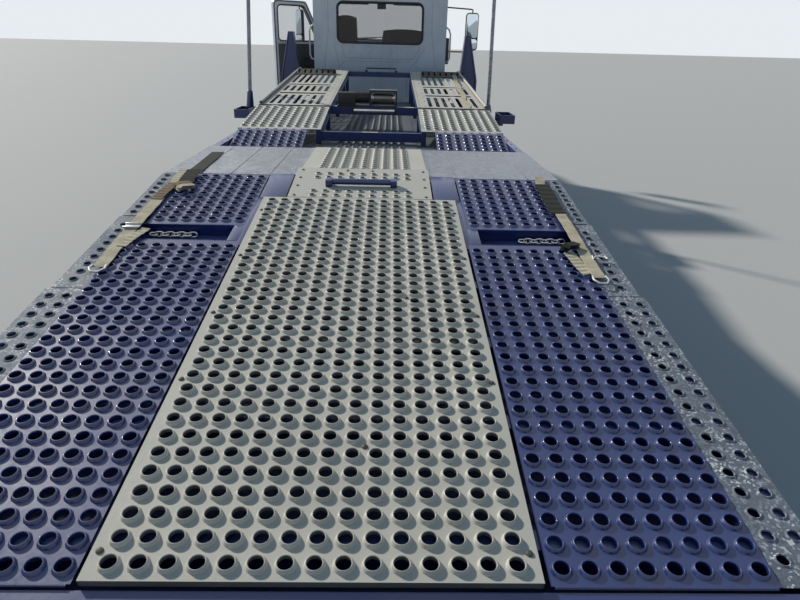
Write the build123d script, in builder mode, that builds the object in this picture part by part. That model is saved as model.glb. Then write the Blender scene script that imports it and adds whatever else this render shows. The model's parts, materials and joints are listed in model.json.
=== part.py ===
from build123d import *
from math import asin, atan2, cos, degrees, radians, sin, tan
import os

# Car transporter truck: X to the right, Y forward, Z up, millimetres.
# The origin is on the ground, on the centre line, midway between bumper and tail.
FRONT, REAR = 5900, -5900

# Chassis
RAIL_OUT, RAIL_LOW, RAIL_TOP, RAIL_FLANGE, RAIL_WEB = 430, 730, 1000, 80, 9
RAIL_REAR, RAIL_FRONT = -3450, 5640

# Axles and wheels
TYRE_R, BEAD_R, TREAD_HALF, BEAD_HALF, BULGE_HALF = 525, 290, 118, 100, 141
FRONT_AXLE_Y, REAR_AXLE_Y, WHEEL_Z = 5060, -2300, TYRE_R
FRONT_WHEEL_X, KINGPIN_X = 1030, 850
REAR_FACE_X, TWIN_OFFSET = 910, 170
HUB_R, DRUM_R, HUB_GAP = 110, 205, 6
ARM_R = 215
ARCH_R = 645

# Cab
CAB_HALF, CAB_REAR, CAB_COWL, CAB_LOW, CAB_ROOF, WALL = 1015, 3250, 4500, 1080, 2780, 60
BELT_Z = 1960
DOOR_REAR, DOOR_FRONT, DOOR_LOW, DOOR_TOP, DOOR_GAP, DOOR_CORNER = 3540, 4460, 1120, 2580, 6, 60
DOOR_REACH = 1750
HINGE_X, HINGE_Y = CAB_HALF, DOOR_FRONT
DOOR_OPEN = degrees(asin((DOOR_REACH - HINGE_X) / (HINGE_Y - DOOR_REAR)))
GLASS = 6

# Bonnet
BONNET_HALF, HOOD_HALF, SKIN = 1180, 640, 25
BONNET_FRONT, BONNET_REAR, BONNET_LOW = 5830, 4512, 790
TILT_Y, TILT_Z, TILT_PIN = 5700, 820, 12

# Load deck
TAIL_SLOPE = 7.83
TAIL_FOOT_Y, TAIL_FOOT_Z = -5726, 896
DECK_HALF, PANEL_HALF, TRACK_IN, TRACK_OUT = 1260, 550, 572, 1118
SHEET = 8
BAND_Z, LOW_DECK_Z, BAND_FRONT, DECK_FRONT = 1235, 1150, -1900, 3000

# Raised wheel tracks above the low deck: their Y and height from the flaps' tips forward
RAISED_IN, RAISED_OUT, FLAP_IN, FLAP_OUT = 455, 1200, 575, 1192
FLAP_TIP, FLAP_HEAD, TRACK_KNEE, TRACK_HEAD = (-1650, 1172), (-1200, 1284), (-300, 1390), (2830, 1600)
TRACK_DEEP = 90


def block(x, y, z, mode=Mode.ADD):
    """A box between the lowest and highest X, Y and Z."""
    with Locations(((x[0] + x[1]) / 2, (y[0] + y[1]) / 2, (z[0] + z[1]) / 2)):
        Box(x[1] - x[0], y[1] - y[0], z[1] - z[0], mode=mode)


def side_shape(x, outline, mode=Mode.ADD, corner=0):
    """A closed outline of (Y, Z) points, solid between two values of X, with its corners rounded."""
    with BuildSketch(Plane.YZ.offset(x[0])) as face:
        with BuildLine():
            Polyline(*outline, close=True)
        make_face()
        if corner:
            fillet(face.vertices(), radius=corner)
    extrude(face.sketch, amount=x[1] - x[0], mode=mode)


def both_sides(x):
    """The same stretch of X on the left and on the right."""
    return ((-x[1], -x[0]), (x[0], x[1]))


def rod(start, end, radius, mode=Mode.ADD):
    """A round bar from one point to another."""
    path = Vector(*end) - Vector(*start)
    with BuildSketch(Plane(origin=start, z_dir=path)) as face:
        Circle(radius)
    extrude(face.sketch, amount=path.length, mode=mode)


def turned(y, z, outline, mode=Mode.ADD):
    """An outline of (X, radius) points turned about the line along X at (y, z)."""
    with BuildSketch(Plane.XZ.offset(-y)) as face:
        with BuildLine():
            Polyline(*[(x, z + r) for x, r in outline], close=True)
        make_face()
    revolve(face.sketch, axis=Axis((0, y, z), (1, 0, 0)), mode=mode)


def tyre(x, y):
    """A tyre centred on (x, y): flat beads, side walls that bulge and a level tread."""
    widest = BEAD_R + 125
    profile = [(-BEAD_HALF, BEAD_R), (-BULGE_HALF, widest), (-TREAD_HALF, TYRE_R)]
    turned(y, WHEEL_Z, [(x + w, r) for w, r in profile] + [(x - w, r) for w, r in reversed(profile)])


def leaf_spring(x, y, seat, eye, half_length, width=75, thick=22):
    """A leaf pack, low in the middle at seat, with its eyes hung from the rail."""
    with BuildSketch(Plane.YZ.offset(x - width / 2)) as face:
        with BuildLine():
            low = ThreePointArc((y - half_length, eye), (y, seat), (y + half_length, eye))
            high = ThreePointArc((y - half_length, eye + thick), (y, seat + 3 * thick), (y + half_length, eye + thick))
            Line(low @ 0, high @ 0)
            Line(low @ 1, high @ 1)
        make_face()
    extrude(face.sketch, amount=width)
    for s in (-1, 1):
        block((x - width / 2, x + width / 2), sorted((y + s * half_length, y + s * (half_length - 60))), (eye, RAIL_LOW))


def save(piece, name):
    """Label a finished piece and write it."""
    piece.part.label = name
    export_step(piece.part, f"parts/{name}.step")


def tail(along, up=0.0):
    """A (Y, Z) point on the sloping tail: distance up the slope, and height off it."""
    a = radians(TAIL_SLOPE)
    return (TAIL_FOOT_Y + along * cos(a) - up * sin(a), TAIL_FOOT_Z + along * sin(a) + up * cos(a))


def slope_z(y, up=0.0):
    """The height at Y of a line that runs level with the sloping tail, at a height off it."""
    a = radians(TAIL_SLOPE)
    return TAIL_FOOT_Z + (y - TAIL_FOOT_Y) * tan(a) + up / cos(a)


def slope_plate(x, along, thick, up=0.0, mode=Mode.ADD):
    """A plate on the sloping tail, from its low side up by its thickness."""
    side_shape(
        x,
        [tail(along[0], up), tail(along[1], up), tail(along[1], up + thick), tail(along[0], up + thick)],
        mode,
    )


def front_shape(half, z, corner, y=(3000, 6000)):
    """A slab across the truck, its top corners rounded as seen from the front."""
    with BuildPart() as form:
        with BuildSketch(Plane.XZ.offset(-y[0])) as face:
            with Locations((0, (z[0] + z[1]) / 2)):
                Rectangle(2 * half, z[1] - z[0])
            fillet(face.vertices().group_by(Axis.Z)[-1], radius=corner)
        extrude(face.sketch, amount=-(y[1] - y[0]))
    return form.part


os.makedirs("parts", exist_ok=True)

# Chassis: two channel rails, their crossmembers, the cab's feet and the engine's mounts
with BuildPart() as chassis_frame:
    for s in (-1, 1):
        web = sorted((s * RAIL_OUT, s * (RAIL_OUT - RAIL_WEB)))
        flange = sorted((s * RAIL_OUT, s * (RAIL_OUT - RAIL_FLANGE)))
        block(web, (RAIL_REAR, RAIL_FRONT), (RAIL_LOW, RAIL_TOP))
        block(flange, (RAIL_REAR, RAIL_FRONT), (RAIL_LOW, RAIL_LOW + RAIL_WEB))
        block(flange, (RAIL_REAR, RAIL_FRONT), (RAIL_TOP - RAIL_WEB, RAIL_TOP))
        # The cab's feet and the engine's mounts
        for y in (CAB_REAR + 60, CAB_COWL - 160):
            block(sorted((s * (RAIL_OUT - RAIL_FLANGE), s * RAIL_OUT)), (y, y + 100), (RAIL_TOP, CAB_LOW))
        block(sorted((s * 330, s * (RAIL_OUT - 5))), (4700, 4800), (780, 900))
        # The bonnet's hinge eye
        eye = sorted((s * (RAIL_OUT - RAIL_FLANGE), s * RAIL_OUT))
        block(eye, (RAIL_FRONT, TILT_Y + 20), (TILT_Z - 30, TILT_Z + 30))
        rod((s * 340, TILT_Y, TILT_Z), (s * 440, TILT_Y, TILT_Z), TILT_PIN + 2, Mode.SUBTRACT)
    for y in (-3440, -2750, -1900, -600, 900, 2300, 3400, 5300):
        block((5 - RAIL_OUT, RAIL_OUT - 5), (y, y + 60), (RAIL_LOW + 50, RAIL_TOP - 30))
save(chassis_frame, "chassis_frame")

# Front axle: a dropped beam with an eye for the king pin at each end
EYE_R, EYE_LOW, EYE_HIGH, PIN_R = 40, 480, 570, 22
with BuildPart() as front_axle:
    block((-600, 600), (FRONT_AXLE_Y - 40, FRONT_AXLE_Y + 40), (420, 500))
    for s in (-1, 1):
        block(sorted((s * 540, s * KINGPIN_X)), (FRONT_AXLE_Y - 32, FRONT_AXLE_Y + 32), (EYE_LOW, EYE_HIGH))
        rod((s * KINGPIN_X, FRONT_AXLE_Y, EYE_LOW), (s * KINGPIN_X, FRONT_AXLE_Y, EYE_HIGH), EYE_R)
        rod(
            (s * KINGPIN_X, FRONT_AXLE_Y, EYE_LOW),
            (s * KINGPIN_X, FRONT_AXLE_Y, EYE_HIGH),
            PIN_R + 1,
            Mode.SUBTRACT,
        )
save(front_axle, "front_axle")

# Rear axle: a tube with its gear housing and spring seats
HOUSING_R, SEAT_TOP, SPRING_X = 65, 600, 390
TUBE_END = REAR_FACE_X - 216 - HUB_GAP
with BuildPart() as rear_axle:
    rod((-TUBE_END, REAR_AXLE_Y, WHEEL_Z), (TUBE_END, REAR_AXLE_Y, WHEEL_Z), HOUSING_R)
    rod((-90, REAR_AXLE_Y, WHEEL_Z), (90, REAR_AXLE_Y, WHEEL_Z), 190)
    rod((0, REAR_AXLE_Y, WHEEL_Z), (0, REAR_AXLE_Y + 260, WHEEL_Z + 20), 90)
    for s in (-1, 1):
        block(
            (s * SPRING_X - 40, s * SPRING_X + 40), (REAR_AXLE_Y - 60, REAR_AXLE_Y + 60), (WHEEL_Z, SEAT_TOP)
        )
save(rear_axle, "rear_axle")

with BuildPart() as springs:
    for s in (-1, 1):
        leaf_spring(s * SPRING_X, FRONT_AXLE_Y, 500, 620, 520)
        leaf_spring(s * SPRING_X, REAR_AXLE_Y, SEAT_TOP, 660, 650)
save(springs, "springs")

# Steering knuckles: a yoke about the axle's eye, its king pin and the tie rod's arm
for side, s in (("left", -1), ("right", 1)):
    with BuildPart() as knuckle:
        for low, high in ((434, EYE_LOW - HUB_GAP), (EYE_HIGH + HUB_GAP, 616)):
            block(sorted((s * (KINGPIN_X - 30), s * 905)), (FRONT_AXLE_Y - 45, FRONT_AXLE_Y + 45), (low, high))
        block(sorted((s * 896, s * 912)), (FRONT_AXLE_Y - 60, FRONT_AXLE_Y + 60), (434, 616))
        rod((s * KINGPIN_X, FRONT_AXLE_Y, 434), (s * KINGPIN_X, FRONT_AXLE_Y, 616), PIN_R)
        block(
            sorted((s * 860, s * 900)), (FRONT_AXLE_Y - ARM_R - 20, FRONT_AXLE_Y - 40), (440, 464)
        )
    save(knuckle, f"knuckle_{side}")

with BuildPart() as tie_rod:
    rod((-880, FRONT_AXLE_Y - ARM_R, 420), (880, FRONT_AXLE_Y - ARM_R, 420), 14)
save(tie_rod, "tie_rod")

# Front wheels: a rim with its hub and drum, and a tyre
for side, s in (("left", -1), ("right", 1)):
    with BuildPart() as front_tyre:
        tyre(s * FRONT_WHEEL_X, FRONT_AXLE_Y)
    save(front_tyre, f"tyre_front_{side}")
    inner = KINGPIN_X + 62 + HUB_GAP
    profile = [
        (inner, 0), (inner, DRUM_R), (1040, DRUM_R), (1040, HUB_R), (1090, HUB_R + 10), (1090, 262),
        (FRONT_WHEEL_X - BEAD_HALF, 262), (FRONT_WHEEL_X - BEAD_HALF, BEAD_R), (FRONT_WHEEL_X + BEAD_HALF, BEAD_R),
        (FRONT_WHEEL_X + BEAD_HALF, 262), (1104, 262), (1104, HUB_R), (1165, 90), (1165, 0),
    ]
    with BuildPart() as front_rim:
        turned(FRONT_AXLE_Y, WHEEL_Z, [(s * x, r) for x, r in profile])
    save(front_rim, f"rim_front_{side}")

# Rear twin wheels: two dished rims bolted back to back on one hub and drum
for side, s in (("left", -1), ("right", 1)):
    with BuildPart() as rear_tyres:
        for x in (REAR_FACE_X - TWIN_OFFSET, REAR_FACE_X + TWIN_OFFSET):
            tyre(s * x, REAR_AXLE_Y)
    save(rear_tyres, f"tyres_rear_{side}")
    face, near, far = REAR_FACE_X, TWIN_OFFSET - BEAD_HALF, TWIN_OFFSET + BEAD_HALF
    profile = [
        (face - 216, 0), (face - 216, DRUM_R), (face - 20, DRUM_R), (face - 20, 225), (face - near - 14, 262),
        (face - far, 262), (face - far, BEAD_R), (face - near, BEAD_R), (face - near, 268), (face, 240),
        (face + near, 268), (face + near, BEAD_R), (face + far, BEAD_R), (face + far, 262),
        (face + near + 14, 262), (face + 14, 225), (face + 14, HUB_R), (face + 150, 95), (face + 150, 0),
    ]
    with BuildPart() as rear_rims:
        turned(REAR_AXLE_Y, WHEEL_Z, [(s * x, r) for x, r in profile])
    save(rear_rims, f"rims_rear_{side}")

# Cab: a hollow shell with its door, windscreen and rear window openings cut
WIND_TOP_Y = 4120
cab_side = [
    (CAB_REAR, CAB_LOW), (CAB_COWL, CAB_LOW), (CAB_COWL, BELT_Z), (WIND_TOP_Y, CAB_ROOF - 90),
    (WIND_TOP_Y - 160, CAB_ROOF), (CAB_REAR + 90, CAB_ROOF), (CAB_REAR, CAB_ROOF - 90),
]
cab_hollow = [
    (CAB_REAR + WALL, CAB_LOW + WALL), (CAB_COWL - WALL, CAB_LOW + WALL), (CAB_COWL - WALL, BELT_Z - 10),
    (WIND_TOP_Y - WALL - 15, CAB_ROOF - 90), (WIND_TOP_Y - 190, CAB_ROOF - WALL),
    (CAB_REAR + 110, CAB_ROOF - WALL), (CAB_REAR + WALL, CAB_ROOF - 110),
]
door_side = [
    (DOOR_REAR, DOOR_LOW), (DOOR_FRONT, DOOR_LOW), (DOOR_FRONT, BELT_Z - 20), (4135, DOOR_TOP), (DOOR_REAR, DOOR_TOP),
]
door_window = [
    (DOOR_REAR + 70, BELT_Z + 20), (4365, BELT_Z + 20), (4100, DOOR_TOP - 70), (DOOR_REAR + 70, DOOR_TOP - 70),
]
REAR_GLASS_HALF, REAR_GLASS_LOW, REAR_GLASS_HIGH, REAR_GLASS_CORNER = 645, 1985, 2540, 80


def grown(outline, gap):
    """An outline moved outwards by a gap, as (Y, Z) points."""
    with BuildSketch() as face:
        with BuildLine():
            Polyline(*outline, close=True)
        make_face()
        offset(amount=gap, kind=Kind.INTERSECTION)
    wire = face.sketch.faces()[0].outer_wire()
    return [tuple((edge @ 0))[:2] for edge in wire.order_edges()]


WIND_SLOPE = atan2(CAB_ROOF - 90 - BELT_Z, WIND_TOP_Y - CAB_COWL)
wind_mid = ((CAB_COWL + WIND_TOP_Y) / 2, (BELT_Z + CAB_ROOF - 90) / 2)
wind_plane = Plane(
    origin=(0, wind_mid[0], wind_mid[1]), x_dir=(1, 0, 0), z_dir=(0, sin(WIND_SLOPE), -cos(WIND_SLOPE))
)
WIND_HALF, WIND_HEIGHT = 880, 680
rear_plane = Plane(
    origin=(0, CAB_REAR, (REAR_GLASS_LOW + REAR_GLASS_HIGH) / 2), x_dir=(1, 0, 0), z_dir=(0, -1, 0)
)
ROOF_CORNER = 110


def cab_form(outline, inset):
    """A cab's side outline made solid, with its roof edges rounded as seen from the front."""
    half = CAB_HALF - inset
    slab = front_shape(half, (1000, CAB_ROOF - inset), ROOF_CORNER - inset)
    with BuildPart() as form:
        side_shape((-half, half), outline)
        add(slab, mode=Mode.INTERSECT)
    return form.part


cab_outside = cab_form(cab_side, 0)
cab_inside = cab_form(cab_hollow, WALL)
with BuildPart() as cab_shell:
    add(cab_outside)
    add(cab_inside, mode=Mode.SUBTRACT)
    opening = grown(door_side, DOOR_GAP)
    side_shape((-CAB_HALF - 10, CAB_HALF + 10), opening, Mode.SUBTRACT, DOOR_CORNER + DOOR_GAP)
    with BuildSketch(wind_plane.offset(60)) as pane:
        RectangleRounded(2 * WIND_HALF, WIND_HEIGHT, 60)
    extrude(pane.sketch, amount=-200, mode=Mode.SUBTRACT)
    with BuildSketch(rear_plane.offset(10)) as pane:
        RectangleRounded(2 * REAR_GLASS_HALF, REAR_GLASS_HIGH - REAR_GLASS_LOW, REAR_GLASS_CORNER)
    extrude(pane.sketch, amount=-WALL - 20, mode=Mode.SUBTRACT)
save(cab_shell, "cab_shell")

with BuildPart() as cab_glass:
    with BuildSketch(wind_plane.offset(-20)) as pane:
        RectangleRounded(2 * WIND_HALF, WIND_HEIGHT, 60)
    extrude(pane.sketch, amount=GLASS)
    with BuildSketch(rear_plane.offset(-20)) as pane:
        RectangleRounded(2 * REAR_GLASS_HALF, REAR_GLASS_HIGH - REAR_GLASS_LOW, REAR_GLASS_CORNER)
    extrude(pane.sketch, amount=GLASS)
save(cab_glass, "cab_glass")

with BuildPart() as roof_lamps:
    for x in (-700, -220, 0, 220, 700):
        with Locations((x, WIND_TOP_Y - 230, CAB_ROOF + 15)):
            Box(130, 60, 30)
            fillet(roof_lamps.edges().filter_by(Axis.Z).filter_by_position(Axis.X, x - 70, x + 70), radius=25)
save(roof_lamps, "roof_lamps")

# Doors with their glass and mirrors, built shut; the left one is then swung open
MIRROR_X, MIRROR_Y, MIRROR_Z, ARM_X, ARM_Y, ARM_R_THIN = (1420, 1640), (4300, 4360), (1895, 2480), 1530, 4330, 11
for side, s, swing in (("left", -1, -DOOR_OPEN), ("right", 1, 0)):
    hinge = Axis((s * HINGE_X, HINGE_Y, 0), (0, 0, 1))
    slab = sorted((s * (CAB_HALF - WALL), s * CAB_HALF))
    with BuildPart() as door:
        side_shape(slab, door_side, corner=DOOR_CORNER)
        side_shape(slab, door_window, Mode.SUBTRACT, DOOR_CORNER)
    with BuildPart() as door_glass:
        side_shape(sorted((s * (CAB_HALF - 33), s * (CAB_HALF - 27))), door_window, corner=DOOR_CORNER)
    with BuildPart() as mirror:
        block(sorted(s * x for x in MIRROR_X), MIRROR_Y, MIRROR_Z)
        # Two arms, each from a foot on the door: where the foot is, and the arm's height above the case
        for foot_y, foot_z, bend_z, case_z in ((4115, 2545, 2530, 2470), (ARM_Y, 1870, 1870, 1900)):
            block(sorted((s * CAB_HALF, s * (CAB_HALF + 14))), (foot_y - 18, foot_y + 18), (foot_z - 18, foot_z + 18))
            bend = (s * ARM_X, ARM_Y, bend_z)
            rod((s * (CAB_HALF + 10), foot_y, foot_z), bend, ARM_R_THIN)
            with Locations(bend):
                Sphere(ARM_R_THIN)
            rod(bend, (s * ARM_X, ARM_Y, case_z), ARM_R_THIN)
    door.part = door.part.rotate(hinge, swing)
    door_glass.part = door_glass.part.rotate(hinge, swing)
    mirror.part = mirror.part.rotate(hinge, swing)
    save(door, f"door_{side}")
    save(door_glass, f"door_glass_{side}")
    save(mirror, f"mirror_{side}")

# Cab inside: two seats, the dashboard and the steering wheel
with BuildPart() as seats:
    # A high-backed driver's seat and a wider bench: X, and the back's X and top
    for x, back_x, back_top in (((-740, -260), (-710, -350), 2370), ((0, 720), (20, 700), 2190)):
        block(x, (3420, 3900), (CAB_LOW + WALL, 1540))
        block(back_x, (3330, 3470), (1540, back_top))
save(seats, "seats")

DASH_Y, DRIVER_X = (4180, CAB_COWL - WALL), -480
wheel_rake = Plane(origin=(DRIVER_X, 4020, 1760), x_dir=(1, 0, 0), z_dir=(0, -0.5, 0.87))
with BuildPart() as dashboard:
    side_shape((-930, 930), [(4240, 1480), (DASH_Y[1], 1480), (DASH_Y[1], 1900), (4260, 1900), (DASH_Y[0], 1780)])
    side_shape((DRIVER_X - 30, DRIVER_X + 30), [(4010, 1690), (4198, 1690), (4186, 1750), (4010, 1750)])
    # The steering wheel's rim of 24 sides, its spoke and its hub
    with BuildSketch(wheel_rake.offset(-13)) as rim:
        RegularPolygon(229, 24)
        RegularPolygon(203, 24, mode=Mode.SUBTRACT)
    extrude(rim.sketch, amount=26)
    with Locations(wheel_rake):
        Box(416, 36, 12)
        Cylinder(55, 26)
save(dashboard, "dashboard")

# Bonnet: wings and hood as one hollow shell that tilts forward, with arches and a grille opening
wing_side = [
    (BONNET_REAR, 860), (BONNET_REAR, 1330), (5450, 1290), (5700, 1210), (5800, 1080), (BONNET_FRONT, 950),
    (BONNET_FRONT, BONNET_LOW),
]
wing_hollow = [
    (BONNET_REAR + SKIN, 700), (BONNET_REAR + SKIN, 1305), (5445, 1265), (5688, 1188), (5777, 1070),
    (BONNET_FRONT - SKIN, 945), (BONNET_FRONT - SKIN, 700),
]
hood_side = [
    (BONNET_REAR, 1000), (BONNET_REAR, 1935), (5350, 1800), (5690, 1690), (5795, 1580), (BONNET_FRONT, 1450),
    (BONNET_FRONT, BONNET_LOW), (5660, BONNET_LOW), (5640, 900), (4700, 900),
]
hood_hollow = [
    (BONNET_REAR - 50, 700), (BONNET_REAR - 50, 1918), (5345, 1775), (5676, 1668), (5772, 1566),
    (BONNET_FRONT - SKIN, 1445), (BONNET_FRONT - SKIN, 700),
]
GRILLE_HALF, GRILLE_LOW, GRILLE_HIGH = 400, 960, 1540
LAMP_X, LAMP_Z = (700, 920), (880, 1120)


def rounded_form(half, outline, top, crown, corner, inset=0.0):
    """A side outline made solid across the truck, rounded along its top and at its front corners."""
    slab = front_shape(half - inset, (600, top - inset), crown - inset)
    with BuildPart() as form:
        side_shape((inset - half, half - inset), outline)
        add(slab, mode=Mode.INTERSECT)
        with BuildSketch(Plane.XY.offset(600)) as plan:
            with Locations((0, (BONNET_FRONT + 4400) / 2 - inset)):
                Rectangle(2 * (half - inset), BONNET_FRONT - 4400)
            fillet(plan.vertices().group_by(Axis.Y)[-1], radius=corner - inset)
        extrude(plan.sketch, amount=1500, mode=Mode.INTERSECT)
    return form.part


WING_TOP, WING_CROWN, HOOD_TOP, HOOD_CROWN = 1330, 130, 1935, 150
wings = rounded_form(BONNET_HALF, wing_side, WING_TOP, WING_CROWN, 260)
hood = rounded_form(HOOD_HALF, hood_side, HOOD_TOP, HOOD_CROWN, 140)
wings_inside = rounded_form(BONNET_HALF, wing_hollow, WING_TOP, WING_CROWN, 260, SKIN)
hood_inside = rounded_form(HOOD_HALF, hood_hollow, HOOD_TOP, HOOD_CROWN, 140, SKIN)
with BuildPart() as wing_space:
    add(wings_inside)
    block((-HOOD_HALF, HOOD_HALF), (4300, 6000), (600, 2000), Mode.SUBTRACT)
with BuildPart() as bonnet:
    add(wings)
    add(hood)
    add(wing_space.part, mode=Mode.SUBTRACT)
    add(hood_inside, mode=Mode.SUBTRACT)
    rod((-1300, FRONT_AXLE_Y, WHEEL_Z), (-HOOD_HALF, FRONT_AXLE_Y, WHEEL_Z), ARCH_R, Mode.SUBTRACT)
    rod((HOOD_HALF, FRONT_AXLE_Y, WHEEL_Z), (1300, FRONT_AXLE_Y, WHEEL_Z), ARCH_R, Mode.SUBTRACT)
    block((-GRILLE_HALF, GRILLE_HALF), (5700, 6000), (GRILLE_LOW, GRILLE_HIGH), Mode.SUBTRACT)
    for x in both_sides(LAMP_X):
        block(x, (5700, 6000), LAMP_Z, Mode.SUBTRACT)
    for s in (-1, 1):
        block(sorted((s * 436, s * 456)), (TILT_Y - 15, BONNET_FRONT - SKIN + 2), (TILT_Z - 18, TILT_Z + 22))
        rod((s * 356, TILT_Y, TILT_Z), (s * 450, TILT_Y, TILT_Z), TILT_PIN)
save(bonnet, "bonnet")

with BuildPart() as grille:
    deep = (BONNET_FRONT - 50, BONNET_FRONT - 6)
    block((-GRILLE_HALF, GRILLE_HALF), deep, (GRILLE_LOW, GRILLE_HIGH))
    block((30 - GRILLE_HALF, GRILLE_HALF - 30), (5700, 6000), (GRILLE_LOW + 30, GRILLE_HIGH - 30), Mode.SUBTRACT)
    middle = (GRILLE_LOW + GRILLE_HIGH) / 2
    block((-GRILLE_HALF, GRILLE_HALF), deep, (middle - 25, middle + 25))
    for k in range(1, 10):
        z = GRILLE_LOW + k * (GRILLE_HIGH - GRILLE_LOW) / 10
        block((-GRILLE_HALF, GRILLE_HALF), (deep[0] + 8, deep[1] - 8), (z - 6, z + 6))
save(grille, "grille")

with BuildPart() as headlamps:
    for x in both_sides(LAMP_X):
        block(x, (BONNET_FRONT - 60, BONNET_FRONT - 4), LAMP_Z)
save(headlamps, "headlamps")

# Bumper: a bent plate with swept ends, on two brackets below the rails
BUMPER_Z, BUMPER_SKIN = (400, 700), 12
bumper_plan = [(1180, 5560), (1180, 5660), (900, 5880), (700, FRONT)]
with BuildPart() as bumper:
    with BuildSketch(Plane.XY.offset(BUMPER_Z[0])) as plan:
        with BuildLine():
            Polyline(*bumper_plan, *[(-x, y) for x, y in reversed(bumper_plan)], close=True)
        make_face()
        with BuildLine():
            inner = [(1168, 5500), (1168, 5654), (895, 5868), (697, FRONT - BUMPER_SKIN)]
            Polyline(*inner, *[(-x, y) for x, y in reversed(inner)], close=True)
        make_face(mode=Mode.SUBTRACT)
    extrude(plan.sketch, amount=BUMPER_Z[1] - BUMPER_Z[0])
    for x in both_sides((RAIL_OUT - RAIL_FLANGE, RAIL_OUT)):
        block(x, (5585, FRONT - 5), (600, 690))
        block(x, (5585, RAIL_FRONT), (600, RAIL_LOW))
save(bumper, "bumper")

# Engine with its gearbox, radiator and the shaft to the rear axle
with BuildPart() as engine:
    block((-330, 330), (4530, 5230), (780, 1450))
    block((-170, 170), (3870, 4530), (620, 1040))
save(engine, "engine")

with BuildPart() as radiator:
    block((-340, 340), (5300, 5360), (RAIL_TOP - 30, 1590))
save(radiator, "radiator")

with BuildPart() as propshaft:
    rod((0, 3875, 715), (0, REAR_AXLE_Y + 255, WHEEL_Z + 20), 45)
save(propshaft, "propshaft")

# Fuel tank on the left, and a stair of two treads below each door
TANK_X, TANK_Z, TANK_R = -750, 690, 270
with BuildPart() as fuel_tank:
    rod((TANK_X, 2200, TANK_Z), (TANK_X, 3400, TANK_Z), TANK_R)
    for y in (2400, 3150):
        block((TANK_X, -RAIL_OUT), (y, y + 60), (760, 860))
save(fuel_tank, "fuel_tank")

with BuildPart() as steps:
    for s in (-1, 1):
        block(sorted((s * 700, s * 712)), (3600, 4380), (470, 1060))
        for y in (3600, 4368):
            block(sorted((s * 700, s * 1000)), (y, y + 12), (470, 1060))
        for z in (480, 780):
            block(sorted((s * 700, s * 1000)), (3600, 4380), (z, z + 20))
        for y in (3700, 4200):
            block(sorted((s * RAIL_OUT, s * 702)), (y, y + 60), (880, 960))
save(steps, "steps")

# Deck: two bearers on the rails, crossmembers on the bearers, and a side rail along each edge
DECK_BEAM_TOP, BEAM_DEEP, BEARER_DEEP, BEARER_TOP = -34, 90, 80, 1085
BOX_X, BOX_Y, BOX_Z, BOX_WALL, POLE_TOP = (1436, 1606), (350, 720), (1178, 1270), 8, 2950
ARM_LOW, ARM_HIGH = 1140, 1186
SIDE_IN, SIDE_LOW = 1200, 1080
SILL_REAR, SILL_FRONT, SILL_LOW = REAR + 15, tail(-50)[0], 690
HATCH_ALONG, HATCH_HALF = (2375, 2885), 420
BAND_REAR = -2960
beam_low = DECK_BEAM_TOP - BEAM_DEEP
with BuildPart() as deck_bearers:
    for x in both_sides((RAIL_OUT - RAIL_FLANGE, RAIL_OUT)):
        side_shape(
            x,
            [
                (SILL_FRONT, slope_z(SILL_FRONT, beam_low)), (BAND_REAR, slope_z(BAND_REAR, beam_low)),
                (BAND_REAR, BEARER_TOP), (DECK_FRONT, BEARER_TOP), (DECK_FRONT, RAIL_TOP), (RAIL_REAR, RAIL_TOP),
                (RAIL_REAR - 200, RAIL_TOP - 60), (SILL_FRONT, slope_z(SILL_FRONT, beam_low - BEARER_DEEP)),
            ],
        )
save(deck_bearers, "deck_bearers")

TAIL_BEAMS = (60, 500, 940, 1380, 1730, 1990, 2330, 2700)
with BuildPart() as deck_crossmembers:
    for y in range(-1800, 2900, 500):
        block((-SIDE_IN, SIDE_IN), (y, y + 60), (BEARER_TOP, LOW_DECK_Z - SHEET))
    for y in (BAND_REAR, -2450, BAND_FRONT - 80):
        block((-SIDE_IN, SIDE_IN), (y, y + 60), (BEARER_TOP, BAND_Z - SHEET))
    for along in TAIL_BEAMS:
        slope_plate((-SIDE_IN, SIDE_IN), (along, along + 60), BEAM_DEEP, beam_low)
save(deck_crossmembers, "deck_crossmembers")

with BuildPart() as chain_trays:
    for x in both_sides((TRACK_IN, SIDE_IN)):
        slope_plate(x, (TAIL_BEAMS[4] + 60, TAIL_BEAMS[5]), 6, DECK_BEAM_TOP - 60)
save(chain_trays, "chain_trays")

with BuildPart() as side_rails:
    for x in both_sides((SIDE_IN, DECK_HALF)):
        side_shape(
            x,
            [
                (SILL_FRONT, slope_z(SILL_FRONT, DECK_BEAM_TOP)), tail(2760, DECK_BEAM_TOP),
                (-2950, BAND_Z - SHEET), (DECK_FRONT, BAND_Z - SHEET), (DECK_FRONT, SIDE_LOW), (-2950, SIDE_LOW),
                (SILL_FRONT, slope_z(SILL_FRONT, DECK_BEAM_TOP - 130)),
            ],
        )
    # An open-top box on an arm on each side, and the right pole's own arm
    for x in both_sides((DECK_HALF - 5, BOX_X[0] + 60)):
        block(x, (480, 600), (ARM_LOW, ARM_HIGH))
    block((DECK_HALF - 5, 1425), (840, 960), (ARM_LOW, ARM_HIGH))
    for x in both_sides(BOX_X):
        block(x, BOX_Y, BOX_Z)
    for x in both_sides((BOX_X[0] + BOX_WALL, BOX_X[1] - BOX_WALL)):
        inside = (BOX_Y[0] + BOX_WALL, BOX_Y[1] - BOX_WALL)
        block(x, inside, (BOX_Z[0] + BOX_WALL, BOX_Z[1] + BOX_WALL), Mode.SUBTRACT)
save(side_rails, "side_rails")

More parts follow.
